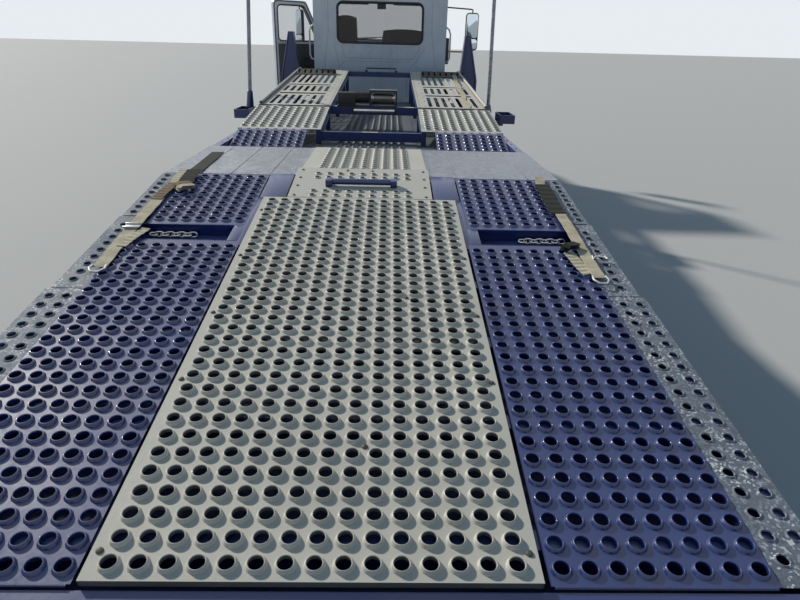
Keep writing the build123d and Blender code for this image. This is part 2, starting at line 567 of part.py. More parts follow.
# The tail's sill with its guard bar and lashing eyes
GUARD_Y, GUARD_Z, EYE_BORE, EYE_X, EYE_Z = (-5870, -5790), (430, 530), 20, 700, 635
with BuildPart() as tail_sill:
    side_shape(
        (-DECK_HALF, DECK_HALF),
        [
            (SILL_REAR, SILL_LOW), (SILL_REAR, slope_z(SILL_REAR, DECK_BEAM_TOP)),
            (SILL_FRONT, slope_z(SILL_FRONT, DECK_BEAM_TOP)), (SILL_FRONT, SILL_LOW),
        ],
    )
    block((-1100, 1100), GUARD_Y, GUARD_Z)
    for x in both_sides((450, 530)):
        block(x, GUARD_Y, (GUARD_Z[1] - 10, SILL_LOW))
    for s in (-1, 1):
        block((s * EYE_X - 12, s * EYE_X + 12), GUARD_Y, (590, SILL_LOW))
        middle = (GUARD_Y[0] + GUARD_Y[1]) / 2
        rod((s * EYE_X - 20, middle, EYE_Z), (s * EYE_X + 20, middle, EYE_Z), EYE_BORE, Mode.SUBTRACT)
save(tail_sill, "tail_sill")

# Tail plates: the pale centre panel, the wheel plates and the galvanised side strips
with BuildPart() as centre_panel:
    slope_plate((-PANEL_HALF, PANEL_HALF), (-45, 2355), 20, DECK_BEAM_TOP)
save(centre_panel, "centre_panel")

# Lowest and highest X, then how far up the slope each plate starts and ends
WHEEL_PLATES = ((TRACK_IN, TRACK_OUT, -45, 1795), (585, 1098, 1985, 2745))
SIDE_STRIPS = ((TRACK_OUT + 4, 1280, -45, 1310), (TRACK_OUT + 4, 1262, 1350, 2070), (1102, 1250, 2080, 2745))
with BuildPart() as wheel_plates:
    for low, high, start, end in WHEEL_PLATES:
        for x in both_sides((low, high)):
            slope_plate(x, (start, end), SHEET, DECK_BEAM_TOP)
save(wheel_plates, "wheel_plates")

with BuildPart() as side_strips:
    for low, high, start, end in SIDE_STRIPS:
        for x in both_sides((low, high)):
            slope_plate(x, (start, end), SHEET, DECK_BEAM_TOP)
save(side_strips, "side_strips")

# Hatch with its bar handle, hinged at its front edge
with BuildPart() as hatch:
    slope_plate((-HATCH_HALF, HATCH_HALF), HATCH_ALONG, 14, DECK_BEAM_TOP)
    for x in ((-215, -175), (175, 215)):
        slope_plate(x, (2540, 2600), 46, DECK_BEAM_TOP + 10)
    rod((-180, *tail(2570, 8)), (180, *tail(2570, 8)), 19)
save(hatch, "hatch")

# Level plates: the galvanised cross band, the floor between the tracks and the low deck
with BuildPart() as floor_plates:
    for x in both_sides((HATCH_HALF + 10, 1262)):
        block(x, (-2945, BAND_FRONT), (BAND_Z - SHEET, BAND_Z))
    block((-HATCH_HALF, HATCH_HALF), (-2830, BAND_FRONT), (BAND_Z - SHEET, BAND_Z))
    for x in both_sides((HATCH_HALF + 10, 578)):
        slope_plate(x, (2365, 2775), SHEET, DECK_BEAM_TOP)
    block((-1200, 1200), (BAND_FRONT + 5, DECK_FRONT), (LOW_DECK_Z - SHEET, LOW_DECK_Z))
save(floor_plates, "floor_plates")

# Raised wheel tracks: punched plates, then plates with three bays of lengthwise slots and a tube along the edge
# Each bay: where its slots start and end. Between two bays a slot runs across
LADDER_BAYS = ((-160, 430), (730, 1150), (1430, 2180))
CROSS_SLOTS = ((530, 610), (1230, 1300))
SLOT_X, SLOT_PITCH, SLOT_COUNT, SLOT_WIDE = 600, 81.5, 7, 40
PUNCHED_END, LADDER_START = -300, -225
TUBE_X, TUBE_R = 1177, 18


def track_z(y):
    """The height of the raised tracks' top at Y."""
    points = (FLAP_HEAD, TRACK_KNEE, TRACK_HEAD)
    (y0, z0), (y1, z1) = points[:2] if y < TRACK_KNEE[0] else points[1:]
    return z0 + (z1 - z0) * (y - y0) / (y1 - y0)


def track_line(start, end, top, low):
    """The side outline of a piece along the raised tracks, between two heights off their top."""
    ys = [start, *(y for y in (TRACK_KNEE[0],) if start < y < end), end]
    return [(y, track_z(y) + top) for y in ys] + [(y, track_z(y) + low) for y in reversed(ys)]


with BuildPart() as track_plates:
    for x in both_sides((RAISED_IN, RAISED_OUT)):
        side_shape(x, track_line(FLAP_HEAD[0], PUNCHED_END, 0, -SHEET))
save(track_plates, "track_plates")

with BuildPart() as raised_tracks:
    for x in both_sides((RAISED_IN, RAISED_OUT)):
        side_shape(x, track_line(LADDER_START, TRACK_HEAD[0], 0, -SHEET))
    for s in (-1, 1):
        for start, end in LADDER_BAYS:
            with BuildSketch(Plane.XY.offset(1350)) as slots:
                with Locations([(s * (SLOT_X + k * SLOT_PITCH), (start + end) / 2) for k in range(SLOT_COUNT)]):
                    SlotOverall(end - start, SLOT_WIDE, rotation=90)
            extrude(slots.sketch, amount=250, mode=Mode.SUBTRACT)
        for y in CROSS_SLOTS:
            block(sorted((s * 580, s * 1110)), y, (1350, 1600), Mode.SUBTRACT)
        start, end = LADDER_START + 10, TRACK_HEAD[0] - 10
        rod((s * TUBE_X, start, track_z(start) + TUBE_R - 2), (s * TUBE_X, end, track_z(end) + TUBE_R - 2), TUBE_R)
save(raised_tracks, "raised_tracks")

LEG_YS, LEG_LONG = (-1190, -290, 900, 2000, 2760), 60
with BuildPart() as track_legs:
    for x in both_sides((RAISED_IN, RAISED_OUT)):
        for low, high in ((x[0], x[0] + 45), (x[1] - 45, x[1])):
            side_shape((low, high), track_line(FLAP_HEAD[0], TRACK_HEAD[0], -SHEET, -TRACK_DEEP))
            for y in LEG_YS:
                foot = [(y, LOW_DECK_Z), (y + LEG_LONG, LOW_DECK_Z)]
                head = [(y + LEG_LONG, track_z(y + LEG_LONG) - 80), (y, track_z(y) - 80)]
                side_shape((low, high), foot + head)
save(track_legs, "track_legs")

FLAP_HINGE_Y, FLAP_HINGE_Z = FLAP_HEAD[0] - 12, FLAP_HEAD[1] - 8
for side, s in (("left", -1), ("right", 1)):
    with BuildPart() as flap:
        side_shape(
            sorted((s * FLAP_IN, s * FLAP_OUT)),
            [
                FLAP_TIP, (FLAP_HEAD[0] - 8, FLAP_HEAD[1] - 2), (FLAP_HEAD[0] - 8, FLAP_HEAD[1] - 2 - SHEET),
                (FLAP_TIP[0], FLAP_TIP[1] - SHEET),
            ],
        )
        # Notches between the lobes of its free edge
        for k in range(7):
            x = s * (FLAP_IN + 71 + 80 * k)
            rod((x, FLAP_TIP[0] - 8, FLAP_TIP[1] - 60), (x, FLAP_TIP[0] - 8, FLAP_TIP[1] + 60), 26, Mode.SUBTRACT)
    save(flap, f"flap_{side}")

# Wheel stops: a slotted plate that slopes up to a bar across each track
STOP_X, STOP_REAR, STOP_FRONT, STOP_HIGH = (610, 1150), 2200, 2400, 60
with BuildPart() as wheel_stops:
    for x in both_sides(STOP_X):
        rear_z, front_z = track_z(STOP_REAR), track_z(STOP_FRONT)
        side_shape(
            x,
            [
                (STOP_REAR, rear_z), (STOP_REAR, rear_z + 10), (STOP_FRONT, front_z + STOP_HIGH),
                (STOP_FRONT, front_z + STOP_HIGH - 12), (STOP_REAR + 40, track_z(STOP_REAR + 40)),
            ],
        )
        side_shape(x, [
            (STOP_FRONT - 4, track_z(STOP_FRONT - 4)), (STOP_FRONT - 4, front_z + STOP_HIGH),
            (STOP_FRONT + 30, front_z + STOP_HIGH), (STOP_FRONT + 30, track_z(STOP_FRONT + 30)),
        ])
    for s in (-1, 1):
        for k in range(SLOT_COUNT):
            x = s * (SLOT_X + 30 + k * SLOT_PITCH)
            block((x - 13, x + 13), (STOP_REAR + 50, STOP_FRONT - 24), (rear_z + 3, front_z + 100), Mode.SUBTRACT)
save(wheel_stops, "wheel_stops")

# Cross bars between the two tracks: rear and front Y, lowest and highest Z
CROSS_BARS = ((-1170, -1110, 1180, 1260), (-130, -50, 1300, 1380), (2760, 2820, 1520, 1590))
with BuildPart() as cross_bars:
    for rear, front, low, high in CROSS_BARS:
        block((-RAISED_IN, RAISED_IN), (rear, front), (low, high))
save(cross_bars, "cross_bars")

# Winch: end plates, motor and gear case on the middle cross bar, its drum, and a roller guide behind it
WINCH_Y, WINCH_Z, WINCH_X = -90, 1470, (-35, 225)
with BuildPart() as winch:
    block((-390, WINCH_X[1] + 15), (-130, -50), (1380, 1392))
    for x in ((WINCH_X[0] - 15, WINCH_X[0]), (WINCH_X[1], WINCH_X[1] + 15)):
        block(x, (WINCH_Y - 70, WINCH_Y + 70), (1392, 1545))
    block((WINCH_X[0], WINCH_X[1]), (WINCH_Y + 50, WINCH_Y + 62), (1400, 1430))
    rod((-200, WINCH_Y, WINCH_Z), (WINCH_X[0] - 15, WINCH_Y, WINCH_Z), 50)
    block((-380, -200), (WINCH_Y - 60, WINCH_Y + 60), (1392, 1520))
    for x in ((-235, -223), (223, 235)):
        block(x, (-185, -130), (1310, 1375))
    rod((-224, -160, 1345), (224, -160, 1345), 16)
save(winch, "winch")

with BuildPart() as winch_drum:
    rod((WINCH_X[0] + 6, WINCH_Y, WINCH_Z), (WINCH_X[1] - 6, WINCH_Y, WINCH_Z), 32)
    for x in (WINCH_X[0] + 6, WINCH_X[1] - 12):
        rod((x, WINCH_Y, WINCH_Z), (x + 6, WINCH_Y, WINCH_Z), 58)
save(winch_drum, "winch_drum")

# Tapered posts beside the cab, and the round poles in their brackets
POST_Y = (2860, 3000)
post_face = [
    (DECK_HALF, SIDE_LOW), (1475, SIDE_LOW), (1475, 1500), (1343, 2115), (1264, 2115), (RAISED_OUT + 6, 1500),
    (RAISED_OUT + 6, BAND_Z - SHEET), (DECK_HALF, BAND_Z - SHEET),
]
with BuildPart() as posts:
    for s in (-1, 1):
        with BuildSketch(Plane.XZ.offset(-POST_Y[0])) as face:
            with BuildLine():
                Polyline(*[(s * x, z) for x, z in post_face], close=True)
            make_face()
        extrude(face.sketch, amount=-(POST_Y[1] - POST_Y[0]))
save(posts, "posts")

# Each pole: X, Y, how far its socket's cone reaches up, and its lean in degrees
POLES = ((-1492, 668, 1450, 3.2), (1375, 900, 1330, -1.2))
CONE_FOOT_R, CONE_TOP_R, POLE_R, POLE_FOOT = 42, 29, 21, ARM_HIGH + 2.4
with BuildPart() as poles:
    for x, y, cone_top, lean in POLES:
        with BuildPart(mode=Mode.PRIVATE) as pole:
            with BuildSketch(Plane.XZ.offset(-y)) as face:
                with BuildLine():
                    Polyline(
                        (x, POLE_FOOT), (x + CONE_FOOT_R, POLE_FOOT), (x + CONE_FOOT_R, POLE_FOOT + 80),
                        (x + CONE_TOP_R, cone_top), (x + POLE_R, cone_top + 8), (x + POLE_R, POLE_TOP), (x, POLE_TOP),
                        close=True,
                    )
                make_face()
            revolve(face.sketch, axis=Axis((x, y, 0), (0, 0, 1)))
        add(pole.part.rotate(Axis((x, y, POLE_FOOT), (0, 1, 0)), lean))
save(poles, "poles")

# Tail lamps on the sill, and the mudflaps behind the rear wheels
with BuildPart() as tail_lamps:
    for s in (-1, 1):
        for x in (820, 960, 1100):
            rod((s * x, REAR, 770), (s * x, SILL_REAR, 770), 50)
save(tail_lamps, "tail_lamps")

with BuildPart() as mudflaps:
    for x in both_sides((610, 1200)):
        block(x, (-2950, -2940), (300, 1080))
save(mudflaps, "mudflaps")

# Tie-down straps flat on the tail's plates: lowest and highest X at each end, and how far up the slope
STRAP_TOP = DECK_BEAM_TOP + SHEET + 0.3
STRAPS = (
    ((-1155, -1105), (-1160, -1110), 1400, 2775),
    ((-1035, -945), (-1100, -1010), 2440, 2745),
    ((1085, 1135), (1060, 1110), 1410, 2200),
    ((1010, 1100), (985, 1075), 2215, 2740),
)


def strap_piece(rear, front, start, end, thick):
    """A flat piece on the tail between two stretches of X, at two distances up the slope."""
    a = radians(TAIL_SLOPE)
    base = Plane(origin=(0, *tail(0, STRAP_TOP)), x_dir=(1, 0, 0), z_dir=(0, -sin(a), cos(a)))
    with BuildSketch(base) as face:
        with BuildLine():
            Polyline((rear[0], start), (rear[1], start), (front[1], end), (front[0], end), close=True)
        make_face()
    extrude(face.sketch, amount=thick)


with BuildPart() as straps:
    for rear, front, start, end in STRAPS:
        strap_piece(rear, front, start, end, 6)
    for x, along in ((-1130, 1930), (-1055, 2440), (1105, 1500)):
        strap_piece((x - 40, x + 40), (x - 40, x + 40), along, along + 90, 34)
save(straps, "straps")

# Chains in the slots: flat and upright links by turns. First X, how many links, distance up the slope
CHAINS = ((-1035, 11, 1900), (862, 7, 1905))
LINK, LINK_PITCH, LINK_WIRE = (40, 30), 29, 8
with BuildPart() as chains:
    for first, count, along in CHAINS:
        for k in range(count):
            lying = tail(along, DECK_BEAM_TOP - 54 + LINK[1] / 2)
            middle = Location((first + k * LINK_PITCH, *lying), (TAIL_SLOPE, 0, 0))
            flat = (LINK_WIRE, LINK[1])[k % 2]
            deep = (LINK[1], LINK_WIRE)[k % 2]
            with Locations(middle):
                Box(LINK[0], deep, flat)
                bore = [40 if size == LINK_WIRE else size - 2 * LINK_WIRE for size in (deep, flat)]
                Box(LINK[0] - 2 * LINK_WIRE, *bore, mode=Mode.SUBTRACT)
save(chains, "chains")
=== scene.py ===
"""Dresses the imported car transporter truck: its punched deck, raised tracks, cab, wheels and running gear.

Sizes are metres in the truck's own frame: X to its right, Y forward and Z up from the ground.
"""
from __future__ import annotations

import functools
import json
import logging
import math
from dataclasses import dataclass
from enum import Enum
from typing import Iterable, Sequence

import bmesh
import bpy
from mathutils import Matrix, Vector

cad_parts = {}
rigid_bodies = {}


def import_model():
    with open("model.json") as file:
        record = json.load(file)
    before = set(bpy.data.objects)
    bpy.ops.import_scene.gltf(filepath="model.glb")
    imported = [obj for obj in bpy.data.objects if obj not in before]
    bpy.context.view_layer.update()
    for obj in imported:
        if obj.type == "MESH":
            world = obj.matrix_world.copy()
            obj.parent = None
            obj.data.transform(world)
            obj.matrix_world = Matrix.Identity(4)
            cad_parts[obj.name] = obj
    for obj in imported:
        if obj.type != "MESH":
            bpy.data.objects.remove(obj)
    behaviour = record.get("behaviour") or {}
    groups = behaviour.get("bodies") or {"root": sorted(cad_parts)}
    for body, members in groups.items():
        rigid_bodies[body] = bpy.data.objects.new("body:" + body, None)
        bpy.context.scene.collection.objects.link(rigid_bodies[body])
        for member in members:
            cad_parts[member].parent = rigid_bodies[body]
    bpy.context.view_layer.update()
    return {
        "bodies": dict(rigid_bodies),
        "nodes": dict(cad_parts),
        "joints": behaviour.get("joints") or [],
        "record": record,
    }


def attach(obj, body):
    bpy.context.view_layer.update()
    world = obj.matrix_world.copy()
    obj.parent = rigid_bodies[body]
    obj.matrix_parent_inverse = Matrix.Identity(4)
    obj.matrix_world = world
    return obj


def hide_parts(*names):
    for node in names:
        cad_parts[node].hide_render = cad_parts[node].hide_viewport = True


LOG = logging.getLogger("transporter")
Point = tuple[float, float, float]
Pair = tuple[float, float]
Socket = bpy.types.NodeSocket
Piece = bpy.types.Object
HERE = Matrix()


class Side(Enum):
    """The truck's left and right, with the sign of X."""

    LEFT = -1
    RIGHT = 1

    @property
    def word(self) -> str:
        """The side as the bodies and nodes spell it."""
        return self.name.lower()


def moved(x: float, y: float, z: float) -> Matrix:
    """A frame that stands at a point."""
    return Matrix.Translation((x, y, z))


def spun(degrees: float, axis: str) -> Matrix:
    """A frame turned about an axis."""
    return Matrix.Rotation(math.radians(degrees), 4, axis)


class Graph:
    """A node tree under construction."""

    def __init__(self, tree: bpy.types.NodeTree) -> None:
        """Keeps the tree that the nodes go into."""
        self.tree = tree

    def fill(self, socket: Socket, value: object) -> None:
        """Sets a socket to a value, or links it when the value is another node's output.

        Args:
            socket: The input to fill.
            value: A number, colour or output.
        """
        if isinstance(value, Socket):
            self.tree.links.new(value, socket)
        elif isinstance(value, tuple) and len(socket.default_value) > len(value):
            socket.default_value = (*value, 1.0)
        else:
            socket.default_value = value

    def node(self, kind: str, settings: dict[str, str] | None = None, **inputs: object) -> bpy.types.Node:
        """Adds a node and fills its inputs.

        Args:
            kind: The node's type.
            settings: Its own properties.
            inputs: Values or outputs by input name, with underscores for spaces, or by number.

        Returns:
            The node.
        """
        made = self.tree.nodes.new(kind)
        for name, value in (settings or {}).items():
            setattr(made, name, value)
        for name, value in inputs.items():
            if value is not None:
                self.fill(made.inputs[int(name[1:]) if name[1:].isdigit() else name.replace("_", " ")], value)
        return made

    def math(self, operation: str, first: object, second: object = 0.0) -> Socket:
        """One sum on two values or outputs."""
        return self.node("ShaderNodeMath", {"operation": operation}, _0=first, _1=second).outputs[0]

    def times(self, first: object, second: object) -> Socket:
        """The product of two values or outputs."""
        return self.math("MULTIPLY", first, second)


class Shade(Graph):
    """A material under construction, with short ways to add the nodes that the finishes share."""

    def __init__(self, name: str) -> None:
        """Starts a material with its Principled shader and Object coordinates.

        Args:
            name: The material's name.
        """
        self.material = bpy.data.materials.new(name)
        self.material.use_nodes = True
        super().__init__(self.material.node_tree)
        self.skin = self.tree.nodes["Principled BSDF"]
        coordinates = self.node("ShaderNodeTexCoord").outputs
        self.place = coordinates["Object"]
        self.uv = coordinates["UV"]

    def set(self, **values: object) -> None:
        """Fills the Principled shader's sockets, named with underscores for spaces."""
        for name, value in values.items():
            self.fill(self.skin.inputs[name.replace("_", " ")], value)

    def stretched(self, scale: Point) -> Socket:
        """Object coordinates scaled on each axis, so that a pattern runs long or short."""
        return self.node("ShaderNodeMapping", Scale=scale, Vector=self.place).outputs["Vector"]

    def noise(self, scale: float, detail: float = 3.0, rough: float = 0.55,
              place: Socket | None = None) -> Socket:
        """Cloudy noise about 0.5, with so many clouds to the metre."""
        inputs = {"Scale": scale, "Detail": detail, "Roughness": rough, "Vector": place or self.place}
        return self.node("ShaderNodeTexNoise", **inputs).outputs["Fac"]

    def cells(self, scale: float, output: str = "Color", place: Socket | None = None) -> Socket:
        """A pattern of cells, so many to the metre: Color is random in each, Distance rises to its edge."""
        return self.node("ShaderNodeTexVoronoi", Scale=scale, Vector=place or self.place).outputs[output]

    def span(self, value: object, start: float, stop: float, low: float = 0.0, high: float = 1.0) -> Socket:
        """Maps the values from start to stop onto low to high, and holds them at the ends."""
        ends = {"From_Min": start, "From_Max": stop, "To_Min": low, "To_Max": high}
        return self.node("ShaderNodeMapRange", Value=value, **ends).outputs["Result"]

    def mix(self, factor: object, first: object, second: object) -> Socket:
        """A blend of two colours, by how much of the second shows."""
        return self.node("ShaderNodeMix", {"data_type": "RGBA"}, _0=factor, _6=first, _7=second).outputs[2]

    def level(self) -> Socket:
        """How far a surface faces up, from 0 on a wall to 1 on a floor."""
        normal = self.node("ShaderNodeNewGeometry").outputs["Normal"]
        return self.span(self.node("ShaderNodeSeparateXYZ", _0=normal).outputs["Z"], 0.2, 0.95)

    def bump(self, height: Socket, depth: float, strength: float = 1.0) -> None:
        """Presses a relief from 0 to 1 into the surface, so many metres deep."""
        relief = self.node("ShaderNodeBump", Distance=depth, Strength=strength, Height=height)
        self.set(Normal=relief.outputs["Normal"])


@dataclass(frozen=True)
class Finish:
    """A surface finish, named like the record's material slot that it belongs to.

    Attributes:
        slot: The material slot.
        colour: The base colour.
        rough: The mean roughness.
        metal: How metallic it is.
        name: The material's own name where a slot has several finishes.
    """

    slot: str
    colour: Point
    rough: float = 0.5
    metal: float = 0.0
    name: str = ""

    def make(self) -> bpy.types.Material:
        """Builds the material."""
        shade = Shade(self.name or self.slot)
        shade.set(Metallic=self.metal)
        self.dress(shade)
        return shade.material

    def tinted(self, factor: float) -> Point:
        """The base colour made lighter or darker."""
        return tuple(min(1.0, c * factor) for c in self.colour)

    def dress(self, shade: Shade) -> None:
        """Adds the finish's nodes: a mottled colour and roughness with a faint relief.

        Args:
            shade: The material under construction.
        """
        cloud = shade.noise(9.0)
        shade.set(Base_Color=shade.mix(shade.span(cloud, 0.35, 0.7), self.tinted(0.85), self.tinted(1.12)))
        shade.set(Roughness=shade.span(cloud, 0.3, 0.7, self.rough - 0.06, self.rough + 0.08))
        shade.bump(shade.noise(160.0), 0.0004, 0.5)


@dataclass(frozen=True)
class Paint(Finish):
    """Gloss paint with dust where it faces up, streaks on its walls, and chips down to the metal.

    Attributes:
        coat: The clear coat's weight.
        dust: How much dust lies on level faces.
        dust_colour: The dust's colour; on blue paint its blue-grey is also a painted sky sheen.
        chips: The share of small chips.
        walls: How dark upright faces and hole walls are made: painted shade, with some dirt.
    """

    coat: float = 0.35
    dust: float = 0.35
    dust_colour: Point = (0.36, 0.34, 0.31)
    chips: float = 0.5
    walls: float = 0.0

    def dress(self, shade: Shade) -> None:
        """Adds the paint's shade, dust, streaks, scratches and chips.

        Args:
            shade: The material under construction.
        """
        cloud = shade.noise(2.3, 5.0, 0.6)
        paint = shade.mix(shade.span(cloud, 0.3, 0.75), self.tinted(0.86), self.tinted(1.14))
        grime = shade.noise(1.0, 6.0, 0.65, shade.stretched((14.0, 14.0, 1.6)))
        fine = shade.noise(60.0, 4.0, 0.7)
        settled = shade.times(shade.level(), shade.span(cloud, 0.35, 0.72, 0.25, 1.0))
        streaks = shade.times(shade.span(grime, 0.52, 0.8), 0.45)
        cover = shade.times(shade.math("MAXIMUM", settled, streaks), shade.span(fine, 0.3, 0.7, 0.6, 1.0))
        # Dust and streaks; on blue paint the blue-grey dust colour also paints a sky sheen.
        dusty = shade.mix(shade.times(cover, self.dust), paint, self.dust_colour)
        specks = shade.span(shade.noise(95.0, 6.0, 0.75), 0.74 - 0.05 * self.chips, 0.76, 0.0,
                            0.8 * self.chips)
        chipped = shade.mix(specks, dusty, (0.2, 0.17, 0.145))
        # Upright faces and hole walls turn near black: painted shade, with some dirt.
        upright = shade.times(shade.span(shade.level(), 0.0, 0.12, 1.0, 0.0), self.walls)
        shade.set(Base_Color=shade.mix(upright, chipped, (0.045, 0.04, 0.036)))
        shade.set(Roughness=shade.span(cover, 0.0, 0.7, self.rough, min(0.85, self.rough + 0.4)))
        shade.set(Coat_Weight=self.coat, Coat_Roughness=0.12)
        shade.bump(shade.math("SUBTRACT", shade.noise(220.0, 2.0), specks), 0.0003, 0.6)


@dataclass(frozen=True)
class Zinc(Finish):
    """Hot-dipped zinc: crystals of differing brightness with dull patches and white speckles.

    Attributes:
        speckled: How strongly the white speckles show.
    """

    metal: float = 0.55
    rough: float = 0.46
    speckled: float = 0.25

    def dress(self, shade: Shade) -> None:
        """Adds two sizes of crystal, the dull patches and a scuffed relief.

        Args:
            shade: The material under construction.
        """
        large = shade.cells(42.0)
        small = shade.cells(140.0)
        crystal = shade.math("ADD", shade.times(large, 0.55), shade.times(small, 0.45))
        metal = shade.mix(shade.span(crystal, 0.2, 0.85), self.tinted(0.55), self.tinted(1.25))
        patch = shade.span(shade.noise(3.5, 6.0, 0.68), 0.5, 0.68)
        dull = shade.mix(shade.times(patch, 0.35), metal, self.tinted(1.35))
        speckle = shade.times(shade.span(small, 0.66, 0.78),
                              shade.span(shade.noise(9.0, 5.0), 0.42, 0.62, 0.15, 0.9))
        shade.set(Base_Color=shade.mix(shade.times(speckle, self.speckled), dull, (0.78, 0.8, 0.82)))
        shade.set(Roughness=shade.math("ADD", shade.span(crystal, 0.2, 0.8, self.rough - 0.12,
                                                         self.rough + 0.1),
                                       shade.times(patch, 0.25)))
        shade.bump(shade.noise(90.0, 5.0, 0.7), 0.0005, 0.5)


@dataclass(frozen=True)
class Metal(Finish):
    """Bare or cast metal with a fine grain, grease stains and a little rust.

    Attributes:
        rust: How much of it has gone brown.
        grain: The depth of its surface grain in metres.
        stain: How strongly grease clouds it.
    """

    metal: float = 0.9
    rough: float = 0.38
    rust: float = 0.1
    grain: float = 0.0003
    stain: float = 1.0

    def dress(self, shade: Shade) -> None:
        """Adds the stains, the rust and the grain.

        Args:
            shade: The material under construction.
        """
        stain = shade.noise(7.0, 6.0, 0.65)
        metal = shade.mix(shade.span(stain, 0.3, 0.75), self.tinted(1.0 - 0.3 * self.stain),
                          self.tinted(1.0 + 0.15 * self.stain))
        rust = shade.span(shade.noise(26.0, 7.0, 0.7), 0.66 - 0.16 * self.rust, 0.76 - 0.1 * self.rust)
        shade.set(Base_Color=shade.mix(shade.times(rust, 0.8), metal, (0.16, 0.075, 0.035)))
        shade.set(Roughness=shade.math("ADD", shade.span(stain, 0.3, 0.7, self.rough - 0.08 * self.stain,
                                                         self.rough + 0.12 * self.stain),
                                       shade.times(rust, 0.3)))
        shade.bump(shade.noise(300.0, 3.0, 0.6), self.grain)


@dataclass(frozen=True)
class Rubber(Finish):
    """Dusty rubber: dark, matt and brown with dust in its hollows."""

    rough: float = 0.78

    def dress(self, shade: Shade) -> None:
        """Adds the dust and a fine relief.

        Args:
            shade: The material under construction.
        """
        dust = shade.span(shade.noise(6.0, 7.0, 0.7), 0.42, 0.75, 0.0, 0.55)
        shade.set(Base_Color=shade.mix(dust, self.colour, (0.13, 0.12, 0.105)))
        shade.set(Roughness=shade.span(dust, 0.0, 0.55, self.rough, 0.95))
        shade.bump(shade.noise(130.0, 4.0), 0.0005, 0.6)


@dataclass(frozen=True)
class Plastic(Finish):
    """Moulded plastic with a leather-like grain."""

    def dress(self, shade: Shade) -> None:
        """Adds the grain and a faded bloom.

        Args:
            shade: The material under construction.
        """
        fade = shade.noise(4.0, 4.0)
        shade.set(Base_Color=shade.mix(shade.span(fade, 0.3, 0.75), self.tinted(0.8), self.tinted(1.4)))
        shade.set(Roughness=shade.span(fade, 0.3, 0.7, self.rough - 0.05, self.rough + 0.1))
        shade.bump(shade.cells(650.0, "Distance"), 0.0002, 0.7)


@dataclass(frozen=True)
class Lens(Finish):
    """A lamp's coloured lens with prisms moulded inside it."""

    rough: float = 0.12

    def dress(self, shade: Shade) -> None:
        """Adds the prisms' light and dark bars under a glossy coat.

        Args:
            shade: The material under construction.
        """
        prism = shade.cells(120.0, "Distance", shade.stretched((1.0, 0.3, 1.0)))
        shade.set(Base_Color=shade.mix(shade.span(prism, 0.1, 0.6), self.tinted(1.5), self.tinted(0.55)))
        shade.set(Roughness=self.rough, Coat_Weight=0.8, Coat_Roughness=0.04)
        shade.bump(prism, 0.0004, 0.4)


@dataclass(frozen=True)
class Glazing(Finish):
    """Tinted safety glass, slightly dusty."""

    rough: float = 0.03

    def dress(self, shade: Shade) -> None:
        """Makes the glass clear with a film of dust."""
        film = shade.span(shade.noise(5.0, 6.0, 0.7), 0.4, 0.8, self.rough, self.rough + 0.16)
        shade.set(Base_Color=self.colour, Roughness=film, Alpha=0.24, IOR=1.5, Coat_Weight=0.4)


@dataclass(frozen=True)
class Webbing(Finish):
    """Woven polyester webbing on the piece's own UV map: V runs along it in metres, U across it."""

    rough: float = 0.82

    def dress(self, shade: Shade) -> None:
        """Adds the twill, a darker edge stripe and dirt.

        Args:
            shade: The material under construction.
        """
        bands = {"wave_type": "BANDS", "bands_direction": "DIAGONAL"}
        weave = shade.node("ShaderNodeTexWave", bands, Scale=75.0, Vector=shade.uv).outputs["Fac"]
        dirt = shade.span(shade.noise(11.0, 6.0, 0.7), 0.42, 0.74, 0.0, 0.75)
        thread = shade.mix(weave, self.tinted(0.72), self.tinted(1.08))
        shade.set(Base_Color=shade.mix(dirt, thread, self.tinted(0.42)), Roughness=self.rough,
                  Sheen_Weight=0.05, Specular_IOR_Level=0.12)
        shade.bump(weave, 0.0006, 0.7)


@dataclass(frozen=True)
class Cloth(Finish):
    """Woven seat cloth."""

    rough: float = 0.9

    def dress(self, shade: Shade) -> None:
        """Adds the weave and its lighter threads.

        Args:
            shade: The material under construction.
        """
        weave = shade.cells(420.0, "Distance")
        fleck = shade.noise(240.0, 3.0)
        shade.set(Base_Color=shade.mix(shade.span(fleck, 0.4, 0.7), self.tinted(0.75), self.tinted(1.5)))
        shade.set(Roughness=self.rough, Sheen_Weight=0.35)
        shade.bump(weave, 0.0006, 0.8)


